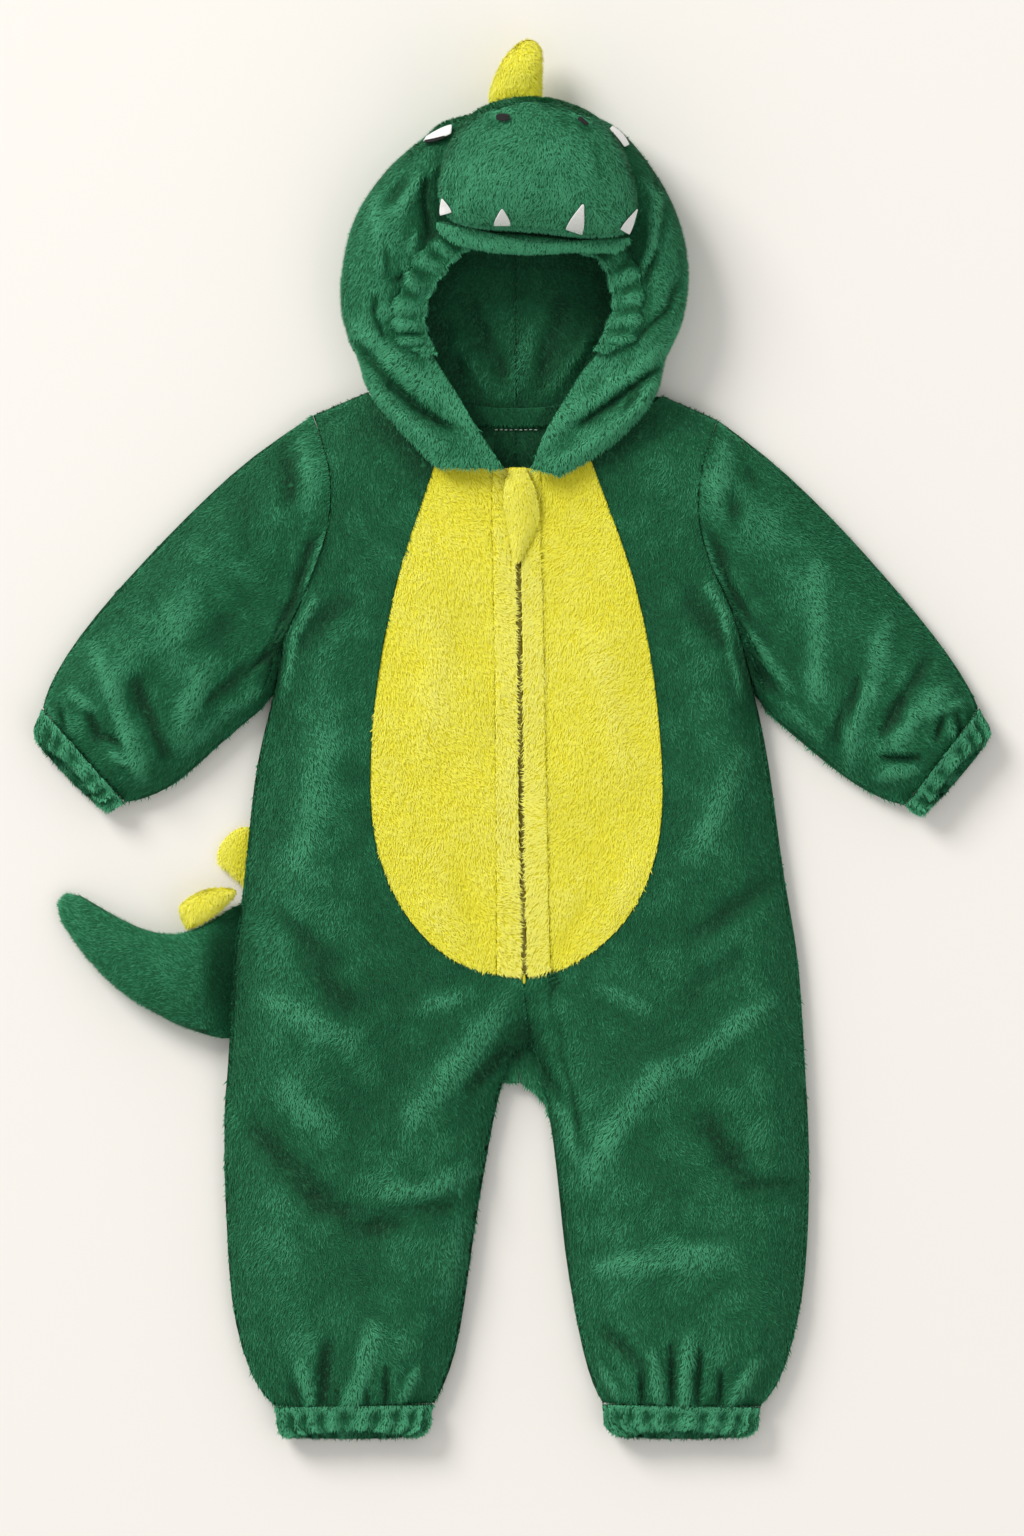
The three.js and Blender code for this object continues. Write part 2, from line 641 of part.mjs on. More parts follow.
// One point of a hood row: 0 to 1 along the back, 1 to 2 round the side, 2 to 3 to the rim
function hoodPoint(row, at, inset) {
  const { rimX, rimY, sideX, sideY, endX, endY, base, top, rim, round } = row;
  const backLength = Math.hypot(endX - sideX, endY - sideY);
  const frontLength = Math.hypot(rimX - sideX, rimY - sideY);
  const low = Math.min(round, backLength * 0.8);
  const high = Math.max(round, 9);
  if (at <= 1) {
    const from = 1 - low / backLength;
    const t = at * from;
    return [mix(endX, sideX, t), mix(endY, sideY, t), base + inset];
  }
  if (at < 2) {
    const angle = (at - 1.5) * Math.PI;
    const reach = angle < 0 ? low : high;
    const in1 = inset + (reach - inset) * (1 - Math.cos(angle));
    const length = angle < 0 ? backLength : frontLength;
    const [toX, toY] = angle < 0 ? [endX, endY] : [rimX, rimY];
    const x = mix(sideX, toX, in1 / length);
    const y = mix(sideY, toY, in1 / length);
    const half = (top - base - 2 * inset) / 2;
    const fold = hoodFold(x, y) * smooth(0, 1.2, angle);
    return [x, y, base + inset + half * (1 + Math.sin(angle)) + fold];
  }
  const t = mix(high / frontLength, 1, at - 2);
  const x = mix(sideX, rimX, t);
  const y = mix(sideY, rimY, t);
  const z = mix(top, rim, smooth(0, 1, at - 2)) - inset;
  return [x, y, z + hoodFold(x, y)];
}

const hoodStations = [0, 0.4, 0.75, 1, 1.25, 1.5, 1.68, 1.85, 2, 2.25, 2.5, 2.75, 3];
const hoodKeys = Object.keys(hoodRight[0]);

function hoodRow(rows, at) {
  const list = rows.map((row) => hoodKeys.map((key) => row[key]));
  const values = between(list, at);
  const turn = Math.sign(rows[0].rimX);
  return Object.fromEntries(hoodKeys.map((key, i) => {
    const value = key.endsWith('X') ? turn * Math.max(0.2, turn * values[i]) : values[i];
    return [key, key === 'base' ? Math.max(0, value) : value];
  }));
}

function hoodHalf(name, rows) {
  const steps = [];
  for (let at = 0; at <= rows.length - 1; at += 0.5) {
    steps.push(hoodRow(rows, at));
  }
  const outer = steps.map((row) => hoodStations.map((at) => hoodPoint(row, at, 0)));
  const inner = steps.map((row) => hoodStations.map((at) => hoodPoint(row, at, clothWall)));
  wall(name, green, outer, inner);
}

hoodHalf('hood_right', hoodRight);
hoodHalf('hood_left', hoodLeft);

// Elastic casing gathered round the face opening
function casing(name, rows) {
  const outer = [];
  const inner = [];
  const count = casingScallops * 3;
  for (let i = 0; i <= count; i += 1) {
    const t = i / count;
    const row = hoodRow(rows, mix(0.25, 8.2, t));
    const length = Math.hypot(row.sideX - row.rimX, row.sideY - row.rimY);
    const wave = 0.5 - 0.5 * Math.cos((Math.PI * 2 * i) / 3);
    const ends = smooth(0, 0.06, t) * smooth(1, 0.86, t);
    const width = mix(6, casingWidth + wave * 3, ends);
    const across = [-2.6 - wave * 1.4 * ends, -1, -0.6, 0.35 * width, 0.75 * width, width];
    const swellAt = [0, 1, 1.2, 2.2, 1.9, 0];
    const point = (d) => {
      const high = Math.max(row.round, 9) / length;
      const at = 3 - (Math.max(0, d) / length) / (1 - high);
      const p = hoodPoint(row, at, 0);
      const ux = (row.rimX - row.sideX) / length;
      const uy = (row.rimY - row.sideY) / length;
      return d < 0 ? [row.rimX - ux * d, row.rimY - uy * d, p[2]] : p;
    };
    outer.push(across.map((d, j) => {
      const p = point(d);
      return [p[0], p[1], p[2] + 2.6 + swellAt[j] * (0.35 + 1.5 * wave * ends)];
    }));
    inner.push(across.map((d, j) => {
      const p = point(d);
      return [p[0], p[1], j < 2 ? p[2] - clothWall - 0.8 : p[2] + 1.5];
    }));
  }
  wall(name, deepGreen, outer, inner);
}

casing('hood_casing_right', hoodRight);
casing('hood_casing_left', hoodLeft);

// Neck binding over the seam between the hood and the back, inside
const bindingX = [-50, -34, -20, -8, 6, 20, 34, 50];
sheet(
  'neck_binding',
  deepGreen,
  bindingX.map((x) => [-5.5, 0, 5.5].map((dy) => [x, 223 + dy + 0.0026 * x * x])),
  () => clothWall + 2.4,
  () => clothWall + 0.5,
);

// Snout and its underside
const snoutOutline = [
  [-45.3, 352.6], [-49.9, 361], [-51, 371], [-50, 385], [-45.3, 398], [-38, 411], [-29, 421],
  [-14, 428.5], [3, 431], [21, 430.3], [38, 426.3], [52, 419.3], [62.3, 409.5], [70.5, 396.5],
  [76.3, 382], [79.5, 367], [79.3, 354], [76, 345], [68, 339.6], [54, 338.6], [38, 339.2],
  [22, 341], [5, 342.6], [-14, 343.8], [-28, 345.2], [-38, 347.8],
];
const snoutCentre = [14, 386];
const snoutRise = snoutTop - snoutMiddle;
const snoutDrop = snoutMiddle - snoutBase;
pillow('snout', green, snoutOutline, snoutCentre, snoutMiddle, snoutRise, snoutDrop);
pillow('snout_underside', green, [
  [-52, 349.5], [-51.5, 344], [-46, 339.5], [-39, 335.5], [-29, 332], [-14, 329.5], [6, 328],
  [22, 329], [38, 330], [55, 329.3], [66, 329.8], [72.5, 333.6], [74.3, 339.2], [68.2, 338.6],
  [54, 337.8], [38, 338.4], [22, 340.2], [5, 341.8], [-14, 343], [-28, 344.4], [-38.3, 347],
], [14, 335.6], 61, 6.4, 10);

function outlineReach(outline, centre, x, y) {
  const dx = x - centre[0];
  const dy = y - centre[1];
  let reach = Infinity;
  for (let i = 0; i < outline.length; i += 1) {
    const a = outline[i];
    const b = outline[(i + 1) % outline.length];
    const ex = b[0] - a[0];
    const ey = b[1] - a[1];
    const det = dx * ey - dy * ex;
    if (Math.abs(det) > 1e-9) {
      const t = ((a[0] - centre[0]) * ey - (a[1] - centre[1]) * ex) / det;
      const u = ((a[0] - centre[0]) * dy - (a[1] - centre[1]) * dx) / det;
      if (t > 0 && u >= -1e-9 && u <= 1 + 1e-9) {
        reach = Math.min(reach, t);
      }
    }
  }
  return 1 / reach;
}

function snoutHeight(x, y) {
  const s = outlineReach(snoutOutline, snoutCentre, x, y);
  return snoutMiddle + (snoutTop - snoutMiddle) * dome(Math.min(s, 0.985));
}

// Small felt pieces laid on the snout
function snoutPatch(name, color, lows, highs, thickness) {
  const plan = acrossRows(lows, highs, [0, 0.33, 0.67, 1]);
  sheet(name, color, plan, (x, y) => snoutHeight(x, y) + 1 + thickness, (x, y) => snoutHeight(x, y) + 1);
}

function tooth(name, base, tip, half) {
  const dx = tip[0] - base[0];
  const dy = tip[1] - base[1];
  const length = Math.hypot(dx, dy);
  const side = [(-dy / length) * half, (dx / length) * half];
  const widths = [1, 0.92, 0.7, 0.4, 0.12];
  const edge = (turn) => widths.map((w, i) => [
    base[0] + (dx * i) / 4 + turn * side[0] * w,
    base[1] + (dy * i) / 4 + turn * side[1] * w,
  ]);
  const left = edge(-1);
  const right = edge(1);
  snoutPatch(name, felt, left, right, 1.6);
}

tooth('tooth_1', [-45.5, 354], [-48.2, 364], 4);
tooth('tooth_2', [-9, 346.2], [-9, 357], 5.6);
tooth('tooth_3', [37.5, 342], [43.5, 360], 5.8);
tooth('tooth_4', [70.6, 342.4], [78.8, 357.2], 3.5);
const rightLow = [[-13, 415], [-8.5, 413.8], [-4, 415]];
const rightHigh = [[-13, 418.6], [-8.5, 419.6], [-4, 418.4]];
snoutPatch('nostril_right', black, rightLow, rightHigh, 1.4);
const leftLow = [[39.8, 415.4], [42.8, 413], [46, 411.2]];
const leftHigh = [[41.4, 417.8], [44.8, 415.4], [47.4, 413]];
snoutPatch('nostril_left', black, leftLow, leftHigh, 1.4);

// Eyes, laid where the hood turns down beside the snout
const upperRows = [...hoodRight.slice(0, 6).reverse(), ...hoodLeft.slice(0, 6)];
const hoodSides = upperRows.map((row) => [row.sideX, row.sideY]);

function hoodTopHeight(x, y) {
  const away = Math.max(0.4, lineDistance(hoodSides, x, y));
  const cosine = 1 - Math.min(1, away / hoodRound);
  return (hoodHeight / 2) * (1 + Math.sqrt(1 - cosine * cosine));
}

function eyePatch(name, color, lows, highs, raise, thickness) {
  const plan = acrossRows(lows, highs, [0, 0.33, 0.67, 1]);
  const under = (x, y) => hoodTopHeight(x, y) + raise;
  sheet(name, color, plan, (x, y) => under(x, y) + thickness, under);
}

eyePatch('eye_white_right', felt, [
  [-60.5, 401.5], [-56.5, 402], [-51.5, 403], [-46.5, 404.5], [-42, 406.5],
], [
  [-58.5, 405.2], [-54.5, 407.6], [-50.5, 409.8], [-46, 411.8], [-41.5, 413],
], 3.2, 2);
eyePatch('pupil_right', black, [
  [-60, 400.8], [-55.5, 401], [-51, 402], [-46.5, 403.5],
], [
  [-59.5, 402.8], [-55.3, 403.4], [-50.7, 404.4], [-46.2, 405.6],
], 5.6, 1.4);
eyePatch('eye_white_left', felt, [
  [60.5, 409.6], [64.5, 405.8], [67.8, 401.8], [70.4, 398],
], [
  [62.8, 412.2], [67.4, 409], [71.4, 404.8], [73.8, 399.8],
], 3.2, 2);

// Spike on the crown of the hood
pillow('head_spike', yellow, [
  [-17, 423.9], [-18.5, 430], [-16.3, 438.8], [-12.7, 448.5], [-8.4, 456.6], [-2.3, 463.1], [4, 467.6],
  [9, 469], [13.8, 467.4], [17, 462], [17.6, 454.5], [16.8, 444], [17, 432], [16.5, 423.9],
], [1, 437], 28, 10, 10);

// Tail, sewn under the back and coming out on the wearer's right
const tailRows = table('topX topY lowX lowY thick', [
  [-118, -96, -122, -166, 5.4], [-150, -93, -155, -174, 7.5], [-176, -91, -181, -182, 9.5],
  [-188, -97, -192, -182, 13], [-199, -106, -203, -179, 26], [-218, -113, -221, -172, 31],
  [-235, -112, -240, -163, 30], [-253, -105, -260, -149, 27], [-270, -95, -277, -132, 22],
  [-283, -88, -290, -115, 15], [-293, -86, -297, -103, 9],
]);
const tailAround = 14;

function tail() {
  const points = [];
  const faces = [];
  for (const row of tailRows) {
    for (let m = 0; m < tailAround; m += 1) {
      const angle = (Math.PI * 2 * m) / tailAround;
      const t = 0.5 + 0.5 * Math.cos(angle);
      const s = Math.sin(angle);
      const z = (row.thick / 2) * (1 + Math.sign(s) * Math.abs(s) ** 0.85);
      points.push([mix(row.lowX, row.topX, t), mix(row.lowY, row.topY, t), z]);
    }
  }
  const last = tailRows.length - 1;
  for (let i = 0; i < last; i += 1) {
    for (let m = 0; m < tailAround; m += 1) {
      const n = (m + 1) % tailAround;
      const a = i * tailAround;
      faces.push([a + m, a + n, a + tailAround + n], [a + m, a + tailAround + n, a + tailAround + m]);
    }
  }
  const root = points.push([-116, -131, 2.7]) - 1;
  const tip = points.push([-298.5, -93, 4.5]) - 1;
  for (let m = 0; m < tailAround; m += 1) {
    const n = (m + 1) % tailAround;
    faces.push([root, n, m], [tip, last * tailAround + m, last * tailAround + n]);
  }
  addSolid('tail', green, points, faces);
}

tail();
pillow('tail_spike_upper', yellow, [
  [-168, -44], [-176, -42.5], [-184, -45], [-191, -52], [-195, -60], [-194, -67], [-188, -72], [-181, -78],
  [-175, -84], [-168, -80],
], [-180, -61], 4.1, 3.7, 4.1);
pillow('tail_spike_lower', yellow, [
  [-181, -84], [-190, -82.5], [-201, -83.5], [-212, -88], [-219, -94], [-219.5, -100], [-216, -107],
  [-214, -110.5], [-204, -106.5], [-196, -101], [-189, -94.5], [-183, -90],
], [-203, -95], 15, 8, 8);

// Slider at the top of the zip and the soft leaf that covers it
function sliderHull(y, halfLength) {
  return [-3.8, 0, 3.8].map((dx) => [1.4 + dx, y + halfLength]);
}

const sliderTop = stripTop(1.4, 177) + 3;
sheet(
  'zip_slider',
  0xd9cf3a,
  [sliderHull(177, -5), sliderHull(177, 0), sliderHull(177, 5)],
  () => sliderTop,
  (x, y) => stripTop(x, y) + 0.5,
);

const leafRows = table('leftX rightX y puff', [
  [-4, 6, 190, 0.5], [-6.5, 9.5, 183, 1.5], [-8, 13, 174, 3], [-8, 15, 164, 3.4], [-6, 14.5, 154, 3.2],
  [-4, 10.5, 145, 2.6], [-3, 6.5, 138, 2], [-2.5, 4, 132, 1.2], [-0.5, 1.6, 128, 0.4],
]);

function leafBase(x, y) {
  return stripTop(x, y) + 0.8 + 3.2 * smooth(158, 171, y) * smooth(195, 184, y);
}

const leafSteps = [0, 0.15, 0.35, 0.5, 0.65, 0.85, 1];
const leafPlan = leafRows.map((row) => leafSteps.map((t) => [mix(row.leftX, row.rightX, t), row.y]));
wall(
  'zip_leaf',
  yellow,
  leafPlan.map((row, i) => row.map(([x, y], j) => {
    const u = 2 * leafSteps[j] - 1;
    return [x, y, leafBase(x, y) + 1.4 + leafRows[i].puff * (1 - u * u)];
  })),
  leafPlan.map((row) => row.map(([x, y]) => [x, y, leafBase(x, y)])),
);

export default group;
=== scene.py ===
# %% [markdown]
# # Baby dragon costume
# A plush suit for a toddler, lying on its back on a pale table. The solids come from the CAD
# model. This lesson gives each panel its soft folds and its nap, and adds the felt, the zip's
# teeth and the sewing.

# %% Load the frame
import math
import bpy
import numpy as np
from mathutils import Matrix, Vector
from mathutils.bvhtree import BVHTree


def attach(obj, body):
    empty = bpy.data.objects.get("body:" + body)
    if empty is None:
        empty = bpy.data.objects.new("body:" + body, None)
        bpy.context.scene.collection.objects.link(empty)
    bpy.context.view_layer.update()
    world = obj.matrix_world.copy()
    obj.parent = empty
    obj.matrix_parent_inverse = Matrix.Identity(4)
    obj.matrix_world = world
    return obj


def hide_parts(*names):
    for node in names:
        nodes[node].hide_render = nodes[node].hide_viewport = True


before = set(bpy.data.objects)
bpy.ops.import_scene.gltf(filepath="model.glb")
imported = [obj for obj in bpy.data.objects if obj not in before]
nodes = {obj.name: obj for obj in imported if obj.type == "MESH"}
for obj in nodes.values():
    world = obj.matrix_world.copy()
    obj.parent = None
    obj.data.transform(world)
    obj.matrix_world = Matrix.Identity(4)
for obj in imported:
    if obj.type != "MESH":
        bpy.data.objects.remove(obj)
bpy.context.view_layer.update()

# %% [markdown]
# ## Camera and light
# The photograph looks straight down at the suit from far off. A very long lens keeps the outline
# true at the height of the snout as well. Product photographs of plush use one large soft lamp
# from the upper left and a bright even sky, so folds stay readable and shadows stay pale.

# %% Camera
camera_height = 25.0
cloth_level = 0.02       # the height at which the picture's scale is true
picture_height = 0.9984
picture_middle = (-0.0026, -0.0052)
sensor_width = 36
bpy.ops.object.camera_add(location=(*picture_middle, camera_height), rotation=(0, 0, 0))
camera = bpy.context.object
camera.name = "camera"
camera.data.sensor_fit = "AUTO"
camera.data.sensor_width = sensor_width
camera.data.lens = sensor_width * (camera_height - cloth_level) / picture_height
camera.data.clip_end = 60
bpy.context.scene.camera = camera
print("lens", round(camera.data.lens), "mm")


# %% Lamps and sky
def soft_lamp(name, place, size, power, colour):
    bpy.ops.object.light_add(type="AREA", location=place)
    lamp = bpy.context.object
    lamp.name = name
    lamp.data.shape = "DISK"
    lamp.data.size = size
    lamp.data.energy = power
    lamp.data.color = colour
    lamp.rotation_euler = (-Vector(place)).to_track_quat("-Z", "Y").to_euler()
    print(name, size, "m across,", power, "W")


soft_lamp("window_lamp", (-4.3, 4.5, 4.5), 3.5, 398, (1.0, 0.985, 0.96))
soft_lamp("fill_lamp", (1.8, -1.6, 2.6), 2.0, 8, (0.97, 0.985, 1.0))

world = bpy.data.worlds.new("pale_room")
bpy.context.scene.world = world
world.use_nodes = True
sky = world.node_tree.nodes["Background"].inputs
sky["Color"].default_value = (1.0, 0.99, 0.975, 1)
sky["Strength"].default_value = 0.60
bpy.context.scene.view_settings.view_transform = "Standard"
bpy.context.scene.view_settings.look = "None"

# %% [markdown]
# ## Shader sums written as Python
# A wire is one output of one node. Sums and products of wires add Math nodes, so a finish reads
# like a formula. Every other node comes from the one method `add`.


# %% Wires
class Wire:
    def __init__(self, finish, socket):
        self.finish = finish
        self.socket = socket

    def sum(self, operation, a, b):
        return self.finish.add("ShaderNodeMath", {"operation": operation}, {0: a, 1: b})

    def __add__(self, other):
        return self.sum("ADD", self, other)

    def __radd__(self, other):
        return self.sum("ADD", other, self)

    def __mul__(self, other):
        return self.sum("MULTIPLY", self, other)

    def __rmul__(self, other):
        return self.sum("MULTIPLY", other, self)


class Finish:
    def __init__(self, name):
        self.material = bpy.data.materials.new(name)
        self.material.use_nodes = True
        self.tree = self.material.node_tree
        self.shader = self.tree.nodes["Principled BSDF"]

    def add(self, kind, settings=None, inputs=None, output=0):
        node = self.tree.nodes.new(kind)
        for key, value in (settings or {}).items():
            if key == "stops":
                elements = node.color_ramp.elements
                while len(elements) < len(value):
                    elements.new(0.5)
                for element, (place, colour) in zip(elements, value):
                    element.position = place
                    element.color = colour
            else:
                setattr(node, key, value)
        for key, value in (inputs or {}).items():
            self.join(value, node.inputs[key])
        return Wire(self, node.outputs[output])

    def join(self, value, socket):
        if isinstance(value, Wire):
            self.tree.links.new(value.socket, socket)
        else:
            socket.default_value = value

    def set(self, **values):
        for key, value in values.items():
            self.join(value, self.shader.inputs[key.replace("_", " ")])
        return self.material

    def place(self):
        return self.add("ShaderNodeTexCoord", output="Object")

    def noise(self, size, detail, rough=0.5):
        inputs = {"Vector": self.place(), "Scale": 1 / size, "Detail": detail, "Roughness": rough}
        return self.add("ShaderNodeTexNoise", {}, inputs)

    def ramp(self, value, stops):
        return self.add("ShaderNodeValToRGB", {"stops": stops}, {"Fac": value})

    def bump(self, height, depth):
        inputs = {"Height": height, "Distance": depth, "Strength": 1.0}
        return self.add("ShaderNodeBump", {}, inputs, output="Normal")


# %% [markdown]
# ## Plush, felt and zip
# Plush is a knitted ground with a short brushed pile. It could be one surface with a fine bump,
# but its edge would stay smooth, so the hairs are real blades here. Each blade has its own shade,
# pale at the tip, and reads it from the attribute `shade`, which also holds painted shade in
# hollows and a painted highlight on ridges. The ground stays dark between them.
# Felt is a matt sheet of pressed fibres, so a fine uneven grain is enough. The zip's tape and
# moulding show ribs, and a band pattern gives them.


# %% Finishes
knit_patch, knit_grain = 0.06, 0.0011
felt_grain = 0.0009


def rgb(r, g, b):
    return (r, g, b, 1)


def plush_ground(name, dark, light):
    finish = Finish(name)
    grain = finish.noise(knit_grain, 3.0, 0.7)
    shade = finish.noise(knit_patch, 3.0) * 0.6 + grain * 0.4
    return finish.set(
        Base_Color=finish.ramp(shade, [(0.3, dark), (0.7, light)]),
        Roughness=0.92,
        Normal=finish.bump(grain, 0.0006),
    )


def plush_hair(name, root, middle, tip, sheen, tint):
    finish = Finish(name)
    shade = finish.add("ShaderNodeAttribute", {"attribute_name": "shade"}, output="Fac")
    return finish.set(
        Base_Color=finish.ramp(shade, [(0.0, root), (0.5, middle), (1.0, tip)]),
        Roughness=0.75,
        Specular_IOR_Level=0.25,
        Sheen_Weight=sheen,
        Sheen_Roughness=0.4,
        Sheen_Tint=tint,
    )


def felt(name, low, high):
    finish = Finish(name)
    grain = finish.noise(felt_grain, 4.0, 0.7)
    return finish.set(
        Base_Color=finish.ramp(grain, [(0.3, low), (0.7, high)]),
        Roughness=0.9,
        Normal=finish.bump(grain, 0.0004),
    )


def ribbed(name, low, high, size, rough):
    finish = Finish(name)
    inputs = {"Vector": finish.place(), "Scale": 1 / size}
    ribs = finish.add("ShaderNodeTexWave", {"wave_type": "BANDS", "bands_direction": "Y"}, inputs)
    return finish.set(
        Base_Color=finish.ramp(ribs, [(0.2, low), (0.8, high)]),
        Roughness=rough,
        Normal=finish.bump(ribs, 0.0002),
    )


green_ground = plush_ground(
    "green_plush_ground", rgb(0.007, 0.102, 0.037), rgb(0.014, 0.150, 0.058),
)
green_hair = plush_hair(
    "green_plush_hair", rgb(0.002, 0.038, 0.013), rgb(0.007, 0.140, 0.051),
    rgb(0.082, 0.420, 0.215), 0.12, rgb(0.5, 1.0, 0.7),
)
yellow_ground = plush_ground("yellow_plush_ground", rgb(0.70, 0.62, 0.012), rgb(0.86, 0.79, 0.03))
yellow_hair = plush_hair(
    "yellow_plush_hair", rgb(0.80, 0.73, 0.024), rgb(0.97, 0.92, 0.062),
    rgb(1.0, 0.98, 0.24), 0.10, rgb(1.0, 1.0, 0.6),
)
white_felt = felt("white_felt", rgb(0.78, 0.78, 0.76), rgb(0.92, 0.92, 0.90))
black_felt = felt("black_felt", rgb(0.003, 0.003, 0.003), rgb(0.010, 0.010, 0.010))
zip_cloth = ribbed("zip_tape_cloth", rgb(0.50, 0.42, 0.010), rgb(0.66, 0.56, 0.02), 0.0016, 0.8)
zip_moulding = ribbed(
    "zip_moulding", rgb(0.17, 0.135, 0.006), rgb(0.30, 0.24, 0.01), 0.0022, 0.45,
)
pale_thread = felt("pale_thread", rgb(0.42, 0.55, 0.44), rgb(0.66, 0.76, 0.66))
print("finishes", len(bpy.data.materials))
